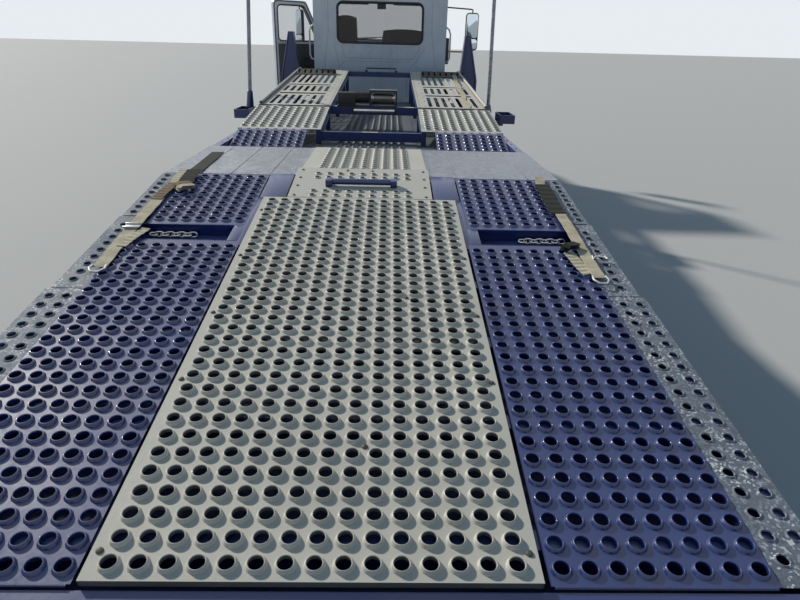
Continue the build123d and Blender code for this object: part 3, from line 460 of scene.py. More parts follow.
class Stock(Enum):
    """Every finish on the truck."""

    # Blue paint: its blue-grey dust on level faces is dust and a painted sky sheen.
    BLUE = Paint("blue_paint", (0.006, 0.024, 0.135), 0.3, coat=0.45, dust=0.2,
                 dust_colour=(0.13, 0.17, 0.29), chips=0.35)
    # Pale paint: its walls setting paints shade on upright faces and in the holes.
    PALE = Paint("pale_paint", (0.57, 0.55, 0.485), 0.42, coat=0.12, dust=0.35,
                 dust_colour=(0.43, 0.41, 0.36), chips=0.7, walls=0.8)
    WHITE = Paint("white_paint", (0.76, 0.79, 0.83), 0.26, coat=0.5, dust=0.14, chips=0.05)
    BLACK = Paint("black_paint", (0.01, 0.01, 0.012), 0.62, coat=0.0, dust=0.1,
                  dust_colour=(0.2, 0.18, 0.16), chips=0.4)
    ZINC = Zinc("galvanised", (0.27, 0.29, 0.33))
    STRIP = Zinc("galvanised", (0.16, 0.19, 0.235), 0.74, 0.12, speckled=0.8, name="speckled_zinc")
    CAST = Metal("cast", (0.075, 0.072, 0.07), 0.58, 0.6, rust=0.55, grain=0.0008)
    SPRING = Metal("spring_steel", (0.1, 0.1, 0.105), 0.5, 0.7, rust=0.5)
    STEEL = Metal("bright_steel", (0.52, 0.53, 0.54), 0.36, rust=0.05)
    ALLOY = Metal("bright_steel", (0.66, 0.67, 0.68), 0.27, rust=0.0, stain=0.3, name="polished_alloy")
    CHROME = Metal("bright_metal", (0.82, 0.83, 0.84), 0.1, 1.0, rust=0.0, grain=0.0001, stain=0.2)
    TYRE = Rubber("tyre", (0.022, 0.022, 0.023))
    RUBBER = Rubber("rubber", (0.018, 0.018, 0.019), 0.68)
    PLASTIC = Plastic("black_plastic", (0.028, 0.028, 0.03), 0.5)
    TRIM = Plastic("grey_trim", (0.15, 0.155, 0.16), 0.6)
    CLEAR = Lens("lamp_lens", (0.42, 0.44, 0.46))
    RED = Lens("red_lens", (0.4, 0.008, 0.01))
    AMBER = Lens("amber_lens", (0.75, 0.24, 0.015))
    CLOTH = Cloth("seat_cloth", (0.105, 0.045, 0.036))
    GLASS = Glazing("glass", (0.022, 0.045, 0.046))
    MIRROR = Metal("mirror_glass", (0.7, 0.8, 0.88), 0.03, 1.0, rust=0.0, grain=0.0, stain=0.1,
                   name="mirror_face")
    WEB = Webbing("webbing", (0.7, 0.62, 0.45))
    WORN = Webbing("webbing", (0.27, 0.19, 0.12), name="strap_worn")
    SLEEVE = Webbing("webbing", (0.016, 0.02, 0.016), name="strap_sleeve")
    # A darkened copy of the blue paint, used only as painted shade.
    NAVY = Paint("blue_paint", (0.01, 0.016, 0.075), 0.55, coat=0.0, dust=0.25,
                 dust_colour=(0.05, 0.055, 0.08), name="shaded_blue")
    GREY = Paint("black_paint", (0.1, 0.125, 0.125), 0.42, coat=0.2, dust=0.15, name="winch_grey")
    # Pale paint darkened to blue-grey for the low floor: painted shade, with dust and dark walls.
    PRIMER = Paint("pale_paint", (0.058, 0.076, 0.1), 0.5, coat=0.05, dust=0.13,
                   dust_colour=(0.2, 0.21, 0.21), walls=0.8, name="worn_floor")
    GRAB = Paint("white_paint", (0.6, 0.62, 0.64), 0.25, coat=0.4, dust=0.1, chips=0.1, name="grab_bar")
    PANEL = Plastic("grey_trim", (0.055, 0.056, 0.058), 0.55, name="door_trim")
    TREAD = Zinc("galvanised", (0.2, 0.21, 0.22), name="tread_zinc")
    ROPE = Metal("bright_steel", (0.3, 0.29, 0.28), 0.5, rust=0.25, name="wire_rope")


@functools.cache
def material(stock: Stock) -> bpy.types.Material:
    """The material of a finish, made once."""
    return stock.value.make()


def object_of(mesh: bpy.types.Mesh, name: str) -> Piece:
    """Links a new object with a mesh into the scene."""
    made = bpy.data.objects.new(name, mesh)
    bpy.context.scene.collection.objects.link(made)
    return made


def baked(piece: Piece) -> Piece:
    """Turns a piece with live modifiers into a plain mesh.

    Args:
        piece: The object, whose modifiers are removed.

    Returns:
        The same object with its finished mesh.
    """
    bpy.context.view_layer.update()
    evaluated = piece.evaluated_get(bpy.context.evaluated_depsgraph_get())
    mesh = bpy.data.meshes.new_from_object(evaluated)
    piece.modifiers.clear()
    piece.data = mesh
    mesh.name = piece.name
    return piece


def object_from(work: bmesh.types.BMesh, name: str) -> Piece:
    """Turns a mesh under construction into an object in the scene.

    Args:
        work: The mesh, which is freed.
        name: The object's name.

    Returns:
        The object.
    """
    mesh = bpy.data.meshes.new(name)
    work.to_mesh(mesh)
    work.free()
    return object_of(mesh, name)


def shaded(mesh: bpy.types.Mesh, sharp: float) -> None:
    """Shades a mesh smooth, apart from the edges that turn by more than an angle.

    Args:
        mesh: The mesh to shade.
        sharp: The angle in degrees.
    """
    work = bmesh.new()
    work.from_mesh(mesh)
    for face in work.faces:
        face.smooth = True
    for edge in work.edges:
        edge.smooth = len(edge.link_faces) != 2 or edge.calc_face_angle(0.0) < math.radians(sharp)
    work.to_mesh(mesh)
    work.free()


def placed(piece: Piece, stock: Stock, body: str = "chassis", nodes: Sequence[str] = ()) -> Piece:
    """Gives a finished piece its material in a slot and its body, and hides the nodes that it stands for.

    Args:
        piece: The finished object.
        stock: Its finish.
        body: The body that it moves with.
        nodes: The nodes that it replaces.

    Returns:
        The same object.
    """
    piece.data.materials.clear()
    piece.data.materials.append(material(stock))
    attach(piece, body)
    for node in nodes:
        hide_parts(node)
    LOG.info("%s: %d faces on %s", piece.name, len(piece.data.polygons), body)
    return piece


class Form:
    """A mesh under construction from blocks, prisms, turned shapes and tubes."""

    def __init__(self) -> None:
        """Starts an empty mesh."""
        self.mesh = bmesh.new()

    def box(self, x: Pair, y: Pair, z: Pair, place: Matrix = HERE) -> Form:
        """Adds a block.

        Args:
            x: Its lowest and highest X.
            y: Its lowest and highest Y.
            z: Its lowest and highest Z.
            place: Where the block's own frame stands.

        Returns:
            The form.
        """
        low, high = (Vector(ends) for ends in zip(*(sorted(pair) for pair in (x, y, z))))
        middle = Matrix.Translation((low + high) / 2) @ Matrix.Diagonal((*(high - low), 1.0))
        bmesh.ops.create_cube(self.mesh, size=1.0, matrix=place @ middle)
        return self

    def twins(self, x: Pair, y: Pair, z: Pair, place: Matrix = HERE) -> Form:
        """Adds a block on each side of the truck, by its inner and outer X."""
        for side in Side:
            self.box(sided(side, *x), y, z, place)
        return self

    def ring(self, points: Iterable[Point], place: Matrix = HERE) -> list[bmesh.types.BMVert]:
        """Adds loose points for a skin."""
        return [self.mesh.verts.new(place @ Vector(point)) for point in points]

    def skinned(self, rings: Sequence[Sequence[bmesh.types.BMVert]], closed: bool, capped: bool) -> Form:
        """Adds faces between rings of points, each ring to the next.

        Args:
            rings: The rings, where a single point is a pole.
            closed: Whether the last ring joins the first.
            capped: Whether the first and the last ring are filled.

        Returns:
            The form.
        """
        sides = max(len(ring) for ring in rings)
        faces = [self.mesh.faces.new(ring) for ring in (rings[0], rings[-1])] if capped else []
        for first, second in zip(rings, rings[1:] + rings[:1] if closed else rings[1:]):
            for k in range(sides):
                j = (k + 1) % sides
                corners = (first[k % len(first)], first[j % len(first)], second[j % len(second)],
                           second[k % len(second)])
                corners = list(dict.fromkeys(corners))
                if len(corners) > 2:
                    faces.append(self.mesh.faces.new(corners))
        bmesh.ops.recalc_face_normals(self.mesh, faces=faces)
        return self

    def prism(self, outline: Sequence[Pair], depth: Pair, place: Matrix = HERE) -> Form:
        """Adds an outline of (Y, Z) points, in order, made solid between two values of X."""
        return self.skinned([self.ring(((x, u, v) for u, v in outline), place) for x in sorted(depth)],
                            False, True)

    def turned(self, outline: Sequence[Pair], place: Matrix = HERE, sides: int = 48) -> Form:
        """Adds a closed outline of (X, radius) points turned about its own X axis.

        Args:
            outline: The points of the section, in order.
            place: Where the axis stands.
            sides: The number of steps around.

        Returns:
            The form.
        """
        rings = []
        for x, radius in outline:
            steps = [math.tau * k / sides for k in range(sides if radius else 1)]
            rings.append(self.ring(((x, radius * math.cos(a), radius * math.sin(a)) for a in steps), place))
        return self.skinned(rings, True, False)

    def tube(self, path: Sequence[Point], radius: float, sides: int = 12, closed: bool = False) -> Form:
        """Adds a round bar along a path.

        Args:
            path: The points of its centre line.
            radius: Its radius.
            sides: The number of steps around.
            closed: Whether its end joins its start.

        Returns:
            The form.
        """
        points = [Vector(p) for p in path]
        count = len(points)
        rings = []
        across = None
        for k, point in enumerate(points):
            before = points[k - 1] if k or closed else point
            after = points[(k + 1) % count] if k + 1 < count or closed else point
            along = (after - before).normalized()
            if across is None:
                across = along.orthogonal().normalized()
            across = (across - along * across.dot(along)).normalized()
            third = along.cross(across)
            steps = (math.tau * j / sides for j in range(sides))
            rings.append(self.ring(point + radius * (across * math.cos(a) + third * math.sin(a))
                                   for a in steps))
        return self.skinned(rings, closed, not closed)

    def sector(self, radii: Pair, turn: float, hole: float, x: Pair, thick: float, sides: int = 16) -> Form:
        """Adds one sector of a wheel's disc about the X axis, with an oval hand hole.

        Args:
            radii: The disc's inner and outer radius.
            turn: The sector's angle in degrees.
            hole: The hole's radius.
            x: The face's place on the axis at both radii.
            thick: The disc's thickness.
            sides: The steps round the hole.

        Returns:
            The form.
        """
        middle, half, spread = sum(radii) / 2, (radii[1] - radii[0]) / 2, math.radians(turn) / 2
        rings = []
        for open_edge, back in ((False, 0.0), (True, 0.0), (True, thick), (False, thick)):
            points = []
            for k in range(sides):
                c, s = (f(math.radians(45) + math.tau * k / sides) for f in (math.cos, math.sin))
                reach = 1.0 / max(abs(c), abs(s))
                u, v = c * reach, s * reach
                if open_edge:
                    u, v = c * hole / half, 1.2 * s * hole / (middle * spread)
                radius, angle = middle + u * half, v * spread
                depth = x[0] + (x[1] - x[0]) * (u + 1) / 2 - back
                points.append((depth, radius * math.cos(angle), radius * math.sin(angle)))
            rings.append(self.ring(points))
        return self.skinned(rings, False, False)

    def made(self, name: str, bevel: float = 0.0, sharp: float = 32.0, segments: int = 2) -> Piece:
        """Turns the form into an object.

        Args:
            name: The piece's name.
            bevel: How wide its edges are rounded.
            sharp: The angle in degrees above which an edge stays sharp.
            segments: The steps of the bevel.

        Returns:
            The object, at the origin.
        """
        piece = object_from(self.mesh, name)
        if bevel:
            edge = piece.modifiers.new("edges", "BEVEL")
            edge.width = bevel
            edge.segments = segments
            edge.limit_method = "ANGLE"
            edge.angle_limit = math.radians(40)
            baked(piece)
        shaded(piece.data, sharp)
        return piece


class Layout(Enum):
    """The ways that a small shape is repeated, with the inputs that each needs."""

    ROW = {"Step": "Vector", "Sway": "Float"}
    GRID = {"Rows": "Int", "Across": "Float", "Along": "Float"}
    RING = {}


class Repeater(Graph):
    """A Geometry Nodes tree that repeats a unit in a row, a grid or a ring."""

    def __init__(self, layout: Layout) -> None:
        """Builds the tree of one layout.

        Args:
            layout: How the unit is repeated.
        """
        super().__init__(bpy.data.node_groups.new(f"repeat_{layout.name.lower()}", "GeometryNodeTree"))
        self.names: dict[str, str] = {}
        inputs = {"Geometry": "Geometry", "Unit": "Object", "Finish": "Material", "Count": "Int",
                  **layout.value}
        sockets = self.tree.interface
        for name, kind in inputs.items():
            made = sockets.new_socket(name, in_out="INPUT", socket_type=f"NodeSocket{kind}")
            self.names[name] = made.identifier
        sockets.new_socket("Geometry", in_out="OUTPUT", socket_type="NodeSocketGeometry")
        self.given = self.node("NodeGroupInput").outputs
        self.join(*{Layout.ROW: self.row, Layout.GRID: self.grid, Layout.RING: self.ring}[layout]())

    def row(self) -> tuple[Socket, Socket]:
        """Points one step apart, and the little that each strays."""
        index = self.node("GeometryNodeInputIndex").outputs[0]
        steps = self.node("ShaderNodeVectorMath", {"operation": "SCALE"}, _0=self.given["Step"], Scale=index)
        points = self.node("GeometryNodePoints", Count=self.given["Count"], Position=steps.outputs[0])
        ends = []
        for value in (self.times(self.given["Sway"], -1.0), self.given["Sway"]):
            ends.append(self.node("ShaderNodeCombineXYZ", X=value, Y=value, Z=value).outputs[0])
        kind = {"data_type": "FLOAT_VECTOR"}
        random = self.node("FunctionNodeRandomValue", kind, Min=ends[0], Max=ends[1], Seed=7)
        return points.outputs[0], random.outputs[0]

    def grid(self) -> tuple[Socket, None]:
        """Points in columns across and rows along."""
        sizes = []
        for number, pitch in (("Count", "Across"), ("Rows", "Along")):
            gaps = self.math("SUBTRACT", self.given[number], 1.0)
            sizes.append(self.times(gaps, self.given[pitch]))
        counts = {"Vertices_X": self.given["Count"], "Vertices_Y": self.given["Rows"]}
        mesh = self.node("GeometryNodeMeshGrid", Size_X=sizes[0], Size_Y=sizes[1], **counts)
        return mesh.outputs["Mesh"], None

    def ring(self) -> tuple[Socket, Socket]:
        """Points on an axis, each turned a step further about X."""
        points = self.node("GeometryNodePoints", Count=self.given["Count"])
        step = self.math("DIVIDE", math.tau, self.given["Count"])
        angle = self.times(self.node("GeometryNodeInputIndex").outputs[0], step)
        return points.outputs[0], self.node("ShaderNodeCombineXYZ", X=angle).outputs[0]

    def join(self, points: Socket, turn: Socket | None) -> None:
        """Puts the unit on the points, realizes it and joins it to what it stands on.

        Args:
            points: The points.
            turn: How the unit is turned on each.
        """
        unit = self.node("GeometryNodeObjectInfo", Object=self.given["Unit"], As_Instance=True)
        shape = unit.outputs["Geometry"]
        copies = self.node("GeometryNodeInstanceOnPoints", Points=points, Instance=shape, Rotation=turn)
        real = self.node("GeometryNodeRealizeInstances", Geometry=copies.outputs[0])
        welded = self.node("GeometryNodeMergeByDistance", Geometry=real.outputs[0], Distance=0.00002)
        both = self.node("GeometryNodeJoinGeometry", _0=self.given["Geometry"])
        self.fill(both.inputs[0], welded.outputs[0])
        finish = self.node("GeometryNodeSetMaterial", Geometry=both.outputs[0], Material=self.given["Finish"])
        self.node("NodeGroupOutput", _0=finish.outputs[0])

    def run(self, base: Piece, unit: Piece, place: Matrix, stock: Stock, **values: object) -> Piece:
        """Repeats a unit beside a base mesh and gives the result as a plain mesh.

        Args:
            base: The object whose mesh the copies join, in the unit's own frame.
            unit: The shape to repeat, which is then removed.
            place: Where that frame stands on the truck.
            stock: The finish.
            values: The tree's other inputs by name.

        Returns:
            The base with its finished mesh.
        """
        modifier = base.modifiers.new("repeat", "NODES")
        modifier.node_group = self.tree
        for name, value in {"Unit": unit, "Finish": material(stock), **values}.items():
            modifier[self.names[name]] = value
        baked(base)
        base.data.transform(place)
        bpy.data.objects.remove(unit)
        return base


@functools.cache
def repeater(layout: Layout) -> Repeater:
    """The tree of a layout, made once."""
    return Repeater(layout)


def joined(name: str, pieces: Sequence[Piece]) -> Piece:
    """Joins finished meshes into one object and removes the others.

    Args:
        name: The joined piece's name.
        pieces: The objects to join.

    Returns:
        The joined object.
    """
    work = bmesh.new()
    for piece in pieces:
        work.from_mesh(piece.data)
        bpy.data.objects.remove(piece)
    return object_from(work, name)


@dataclass(frozen=True)
class Slope:
    """The sloping tail: distances run up it from its foot, and heights stand square on it.

    The angle is in degrees, and the foot is where it starts.
    """

    angle: float = 7.83
    foot_y: float = -5.726
    foot_z: float = 0.896

    def frame(self, x: float = 0.0, along: float = 0.0, up: float = 0.0) -> Matrix:
        """The frame of a piece that lies on the slope, with Y up the slope and Z square to it."""
        return moved(0.0, self.foot_y, self.foot_z) @ spun(self.angle, "X") @ moved(x, along, up)

    def point(self, x: float, along: float, up: float) -> Vector:
        """A point of the slope in the truck's frame."""
        return self.frame() @ Vector((x, along, up))


TAIL = Slope()


@dataclass(frozen=True)
class PunchedSheet:
    """A sheet with rows of holes, each with a collar pressed up round it.

    Attributes:
        name: The piece's name.
        x: Its edges across.
        along: Its ends, along the sheet's own Y.
        columns: The number of holes across.
        rows: The number of holes along.
        first: The middle of the first hole, (X, along).
        hole: The holes' radius.
        rise: How high the collars stand.
        thick: How thick the sheet is.
        dome: How wide the collars are round the hole.
        pitch: The holes' spacing across and along.
        edge: The depth of the folded edge below the sheet.
    """

    name: str
    x: Pair
    along: Pair
    columns: int
    rows: int
    first: Pair
    hole: float = 0.02
    rise: float = 0.011
    thick: float = 0.003
    dome: float = 0.008
    pitch: Pair = (0.07, 0.0716)
    edge: float = 0.0

    def cell(self, sides: int = 16) -> Piece:
        """One hole with its domed collar, in a square of sheet as wide as the pitch.

        Args:
            sides: The steps round the hole.

        Returns:
            The unit to repeat, centred on the hole.
        """
        work = bmesh.new()
        rings = (
            (self.hole + self.dome, 0.0), (self.hole + self.dome * 0.45, self.rise * 0.78),
            (self.hole + 0.0012, self.rise), (self.hole - 0.0006, self.rise * 0.7), (self.hole, -self.thick),
        )
        made: list[list[bmesh.types.BMVert]] = []
        angles = [math.radians(45) + math.tau * k / sides for k in range(sides)]
        for radius, height in ((0.0, 0.0), *rings, (0.0, -self.thick)):
            ring = []
            for a in angles:
                c, s = math.cos(a), math.sin(a)
                reach = 0.5 / max(abs(c), abs(s))
                x, y = c * radius, s * radius
                if not radius:
                    x, y = c * reach * self.pitch[0], s * reach * self.pitch[1]
                ring.append(work.verts.new((x, y, height)))
            made.append(ring)
        for step, (first, second) in enumerate(zip(made, made[1:])):
            for k in range(sides):
                face = work.faces.new((first[k], first[(k + 1) % sides], second[(k + 1) % sides], second[k]))
                face.smooth = 1 <= step <= 4
        return object_from(work, f"{self.name}_hole")

    def border(self) -> Piece:
        """The sheet round the holes, in a frame centred on them."""
        across, along = self.pitch
        grid_x = (self.first[0] - across / 2, self.first[0] + (self.columns - 0.5) * across)
        grid_y = (self.first[1] - along / 2, self.first[1] + (self.rows - 0.5) * along)
        (left, right), (rear, front) = self.x, self.along
        middle = moved(-sum(grid_x) / 2, -sum(grid_y) / 2, 0.0)
        form = Form()
        for x, y in (
            ((left, grid_x[0]), self.along), ((grid_x[1], right), self.along),
            (grid_x, (rear, grid_y[0])), (grid_x, (grid_y[1], front)),
        ):
            if min(x[1] - x[0], y[1] - y[0]) > 0.0005:
                form.box(x, y, (-self.thick, 0.0), middle)
        if self.edge:
            for x, y in (
                ((left, left + 0.004), self.along), ((right - 0.004, right), self.along),
                (self.x, (rear, rear + 0.004)), (self.x, (front - 0.004, front)),
            ):
                form.box(x, y, (-self.edge, -self.thick), middle)
        return form.made(f"{self.name}_sheet")

    def make(self, stock: Stock, place: Matrix) -> Piece:
        """Builds the whole sheet.

        Args:
            stock: Its finish.
            place: The frame in which its X, along and top stand.

        Returns:
            The sheet as one mesh.
        """
        across, along = self.pitch
        reach = ((self.columns - 1) * across / 2, (self.rows - 1) * along / 2)
        middle = place @ moved(self.first[0] + reach[0], self.first[1] + reach[1], 0.0)
        sizes = {"Count": self.columns, "Rows": self.rows, "Across": across, "Along": along}
        return repeater(Layout.GRID).run(self.border(), self.cell(), middle, stock, **sizes)


@dataclass(frozen=True)
class View:
    """The photograph's camera.

    Angles are in degrees: down, to the truck's right, and rolled. The lens is in mm for a 36 mm sensor.
    """

    place: Point = (0.163, -6.8, 2.05)
    pitch: float = 23.47
    yaw: float = 1.4
    roll: float = 1.47
    lens: float = 27.05

    def make(self) -> None:
        """Adds the camera to the scene."""
        camera = bpy.data.objects.new("camera", bpy.data.cameras.new("camera"))
        bpy.context.scene.collection.objects.link(camera)
        camera.data.lens = self.lens
        camera.data.sensor_width = 36.0
        camera.data.clip_end = 400.0
        turn = spun(-self.yaw, "Z") @ spun(90 - self.pitch, "X") @ spun(self.roll, "Z")
        camera.matrix_world = moved(*self.place) @ turn
        bpy.context.scene.camera = camera


@dataclass(frozen=True)
class Studio:
    """A pale floor and backdrop with an even sky and one soft lamp from the front left.

    The backdrop is what the camera and mirrors see beyond the floor. The spread is in degrees.
    """

    floor_half: float = 150.0
    floor: Point = (0.5, 0.5, 0.49)
    backdrop: Point = (0.8, 0.84, 0.88)
    sky: Point = (0.43, 0.69, 1.0)
    sky_strength: float = 0.25
    lamp: float = 3.6
    lamp_from: Point = (-0.62, 0.56, 0.47)
    spread: float = 3.0

    def make(self) -> None:
        """Adds the floor, the world and the lamp."""
        scene = bpy.context.scene
        scene.view_settings.view_transform = "Standard"
        reach = (-self.floor_half, self.floor_half)
        floor = Form().box(reach, reach, (-0.05, 0.0)).made("floor")
        shade = Shade("studio_floor")
        shade.set(Base_Color=self.floor, Roughness=0.9)
        floor.data.materials.append(shade.material)
        world = bpy.data.worlds.new("sky")
        scene.world = world
        world.use_nodes = True
        graph = Graph(world.node_tree)
        rays = graph.node("ShaderNodeLightPath").outputs
        seen_or_not = rays["Is Camera Ray"]
        for name in ("Is Glossy Ray", "Is Transmission Ray"):
            seen_or_not = graph.math("MAXIMUM", seen_or_not, rays[name])
        light = graph.node("ShaderNodeBackground", Color=self.sky, Strength=self.sky_strength)
        seen = graph.node("ShaderNodeBackground", Color=self.backdrop, Strength=1.0)
        choice = graph.node("ShaderNodeMixShader", _0=seen_or_not, _1=light.outputs[0], _2=seen.outputs[0])
        graph.fill(world.node_tree.nodes["World Output"].inputs["Surface"], choice.outputs[0])
        lamp = bpy.data.objects.new("lamp", bpy.data.lights.new("lamp", "SUN"))
        lamp.data.energy = self.lamp
        lamp.data.angle = math.radians(self.spread)
        lamp.data.color = (1.0, 0.95, 0.86)
        lamp.rotation_euler = Vector(self.lamp_from).to_track_quat("Z", "Y").to_euler()
        scene.collection.objects.link(lamp)


def incline(start: Pair, end: Pair) -> Matrix:
    """The frame of a sheet that runs from one (Y, Z) point to another, with Y along it."""
    rise = math.atan2(end[1] - start[1], end[0] - start[0])
    return moved(0.0, *start) @ Matrix.Rotation(rise, 4, "X")


def sided(side: Side, inner: float, outer: float) -> Pair:
    """A stretch of X on one side, lowest first."""
    return tuple(sorted((side.value * inner, side.value * outer)))


def rounded(half: float, low: float, high: float, corner: float, steps: int = 6) -> list[Pair]:
    """The outline of a rectangle with round corners.

    Args:
        half: Half its width.
        low: Its lower edge.
        high: Its upper edge.
        corner: The corners' radius.
        steps: The steps of a corner.

    Returns:
        Its points, across and up.
    """
    points = []
    for x, z, turn in ((1, 1, 0), (-1, 1, 90), (-1, -1, 180), (1, -1, 270)):
        middle = (x * (half - corner), (high if z > 0 else low) - z * corner)
        for k in range(steps + 1):
            a = math.radians(turn + 90 * k / steps)
            points.append((middle[0] + corner * math.cos(a), middle[1] + corner * math.sin(a)))
    return points


def row(name: str, unit: Form, count: int, step: Point, place: Matrix, stock: Stock,
        sway: float = 0.0) -> Piece:
    """Repeats a form in a row as one mesh, from its place on, a step apart and up to a sway astray."""
    base = object_of(bpy.data.meshes.new(name), name)
    piece = unit.made(f"{name}_unit")
    return repeater(Layout.ROW).run(base, piece, place, stock, Count=count, Step=step, Sway=sway)


def ring(name: str, base: Form, unit: Form, count: int, place: Matrix, stock: Stock,
         sharp: float = 32.0) -> Piece:
    """Repeats a form about the X axis, joined to a base whose edges stay sharp above an angle."""
    piece = unit.made(f"{name}_unit")
    return repeater(Layout.RING).run(base.made(name, sharp=sharp), piece, place, stock, Count=count)


def dome(radius: float, height: float, turn: Matrix = HERE) -> Form:
    """A low round head that stands on Z."""
    section = [(0, 0), (0, radius), (height * 0.45, radius * 0.94), (height * 0.85, radius * 0.6),
               (height, 0)]
    return Form().turned(section, turn @ spun(-90, "Y"), 12)


def ribbon(name: str, path: Sequence[Point], width: float, place: Matrix, thick: float = 0.0025) -> Piece:
    """A strip of webbing that lies along a path, with a UV map in metres.

    Args:
        name: The piece's name.
        path: The middle of its underside: across, along and up.
        width: The webbing's width.
        place: The frame of the path.
        thick: The webbing's thickness.

    Returns:
        The strip.
    """
    work = bmesh.new()
    layer = work.loops.layers.uv.new("strap")
    points = [Vector(p) for p in path]
    sections, lengths = [], [0.0]
    for k, point in enumerate(points):
        run = (points[min(k + 1, len(points) - 1)] - points[max(k - 1, 0)]).normalized()
        side = Vector((run.y, -run.x, 0.0)).normalized()
        up = side.cross(run).normalized() * thick
        if k:
            lengths.append(lengths[-1] + (point - points[k - 1]).length)
        left, right = point - side * width / 2, point + side * width / 2
        sections.append([work.verts.new(place @ corner) for corner in (left, right, right + up, left + up)])
    across = (0.0, width, width, 0.0)
    faces = []
    for k, (first, second) in enumerate(zip(sections, sections[1:])):
        for j in range(4):
            after = (j + 1) % 4
            face = work.faces.new((first[j], first[after], second[after], second[j]))
            spots = ((across[j], k), (across[after], k), (across[after], k + 1), (across[j], k + 1))
            for loop, (u, n) in zip(face.loops, spots):
                loop[layer].uv = (u, lengths[n])
            faces.append(face)
    for section in (sections[0], sections[-1]):
        face = work.faces.new(section)
        for loop, u in zip(face.loops, across):
            loop[layer].uv = (u, 0.0)
        faces.append(face)
    bmesh.ops.recalc_face_normals(work, faces=faces)
    return object_from(work, name)


@dataclass(frozen=True)
class TailDeck:
    """The sloping tail: centre panel, wheel plates, side strips, hatch and a painted-shade sheet below them.

    Heights stand square on the slope, and the hatch's ends and screws are distances up it.
    """

    beam_top: float = -0.034
    sheet: float = 0.008
    panel_top: float = -0.014
    hatch: Pair = (2.375, 2.885)
    hatch_half: float = 0.42
    half: float = 1.2
    belly: float = -0.122

    @property
    def plate_top(self) -> float:
        """The height of the plates' top off the slope."""
        return self.beam_top + self.sheet

    def screws(self, name: str, body: str, spots: Sequence[Point], radius: float = 0.01) -> None:
        """Sets low dark screw heads on the slope, each at its place across, along and up."""
        heads = [dome(radius, 0.006, TAIL.frame(*spot)).made(f"{name}_head") for spot in spots]
        placed(joined(name, heads), Stock.CAST, body)

    def centre_panel(self) -> None:
        """The pale panel of 15 by 33 holes with its bolts and a folded edge."""
        sheet = PunchedSheet("centre_panel", (-0.549, 0.549), (-0.044, 2.354), 15, 33, (-0.49, 0.0),
                             rise=0.012, edge=0.02)
        panel = sheet.make(Stock.PALE, TAIL.frame(up=self.panel_top))
        placed(panel, Stock.PALE, nodes=("centre_panel",))
        spots = [(x, along, self.panel_top) for x in (-0.527, 0.527)
                 for along in (0.036, 0.7, 1.12, 1.62, 2.16)]
        spots += [(x, along, self.panel_top) for x, along in ((0.105, 0.394), (-0.175, 1.826),
                                                              (0.245, 1.254))]
        self.screws("centre_panel_screws", "chassis", spots)

    def wheel_plates(self) -> None:
        """The blue plates on both sides, behind and ahead of the chain slots."""
        sheets = []
        for side in Side:
            rear = PunchedSheet(f"rear_plate_{side.word}", sided(side, 0.573, 1.117), (-0.044, 1.794), 8, 25,
                                (sided(side, 0.6, 1.09)[0], 0.0))
            front = PunchedSheet(f"front_plate_{side.word}", sided(side, 0.586, 1.097), (1.986, 2.744), 7, 10,
                                 (sided(side, 0.625, 1.045)[0], 2.045))
            sheets += [sheet.make(Stock.BLUE, TAIL.frame(up=self.plate_top)) for sheet in (rear, front)]
        placed(joined("wheel_plate_sheets", sheets), Stock.BLUE, nodes=("wheel_plates",))

    def side_strips(self) -> None:
        """The galvanised strips along both edges, with low-rimmed holes."""
        strips = []
        # Inner and outer X, ends along, columns, rows, first hole's X and its distance along
        table = (
            (1.123, 1.279, -0.044, 1.309, 2, 18, 1.166, 0.03),
            (1.123, 1.261, 1.315, 2.069, 1, 9, 1.2, 1.388),
            (1.103, 1.249, 2.081, 2.744, 2, 9, 1.141, 2.13),
        )
        for side in Side:
            for k, (inner, outer, start, end, columns, rows, hole_x, hole_y) in enumerate(table):
                first = sided(side, hole_x, hole_x + (columns - 1) * 0.07)[0]
                strip = PunchedSheet(f"strip_{side.word}_{k}", sided(side, inner, outer),
                                     (start, end), columns,
                                     rows, (first, hole_y), hole=0.0165, rise=0.004, dome=0.006)
                strips.append(strip.make(Stock.STRIP, TAIL.frame(up=self.plate_top)))
        placed(joined("side_strip_sheets", strips), Stock.STRIP, nodes=("side_strips",))

    def hatch_lid(self) -> None:
        """The pale hatch with pairs of hole rows, screws and a bar handle between two blocks."""
        top = -0.02
        start, end = self.hatch
        cuts = (start, 2.5145, 2.668, end)
        pieces = []
        for name, ends, first in (("rear", cuts[:2], 2.407), ("front", cuts[2:], 2.706)):
            lid = PunchedSheet(f"hatch_{name}", (-self.hatch_half, self.hatch_half), ends, 9, 2,
                               (-0.28, first), hole=0.0145, rise=0.007, dome=0.007, pitch=(0.07, 0.068))
            pieces.append(lid.make(Stock.PALE, TAIL.frame(up=top)))
        middle = Form().box((-self.hatch_half, self.hatch_half), cuts[1:3], (top - 0.004, top), TAIL.frame())
        for x in (-self.hatch_half, self.hatch_half - 0.004):
            middle.box((x, x + 0.004), self.hatch, (self.beam_top, top - 0.004), TAIL.frame())
        pieces.append(middle.made("hatch_middle"))
        placed(joined("hatch_sheet", pieces), Stock.PALE, "hatch", ("hatch",))
        handle = Form()
        for x in (-0.195, 0.195):
            handle.box((x - 0.02, x + 0.02), (2.541, 2.599), (top, 0.022), TAIL.frame())
        handle.tube([TAIL.point(x, 2.57, 0.006) for x in (-0.18, 0.18)], 0.0185, 14)
        placed(handle.made("hatch_handle", 0.003), Stock.BLUE, "hatch")
        spots = [(x, along, top) for x in (-0.385, 0.385) for along in (2.405, 2.56, 2.7, 2.84)]
        self.screws("hatch_screws", "hatch", spots + [(0.06, 2.84, top), (-0.1, 2.84, top)], 0.009)

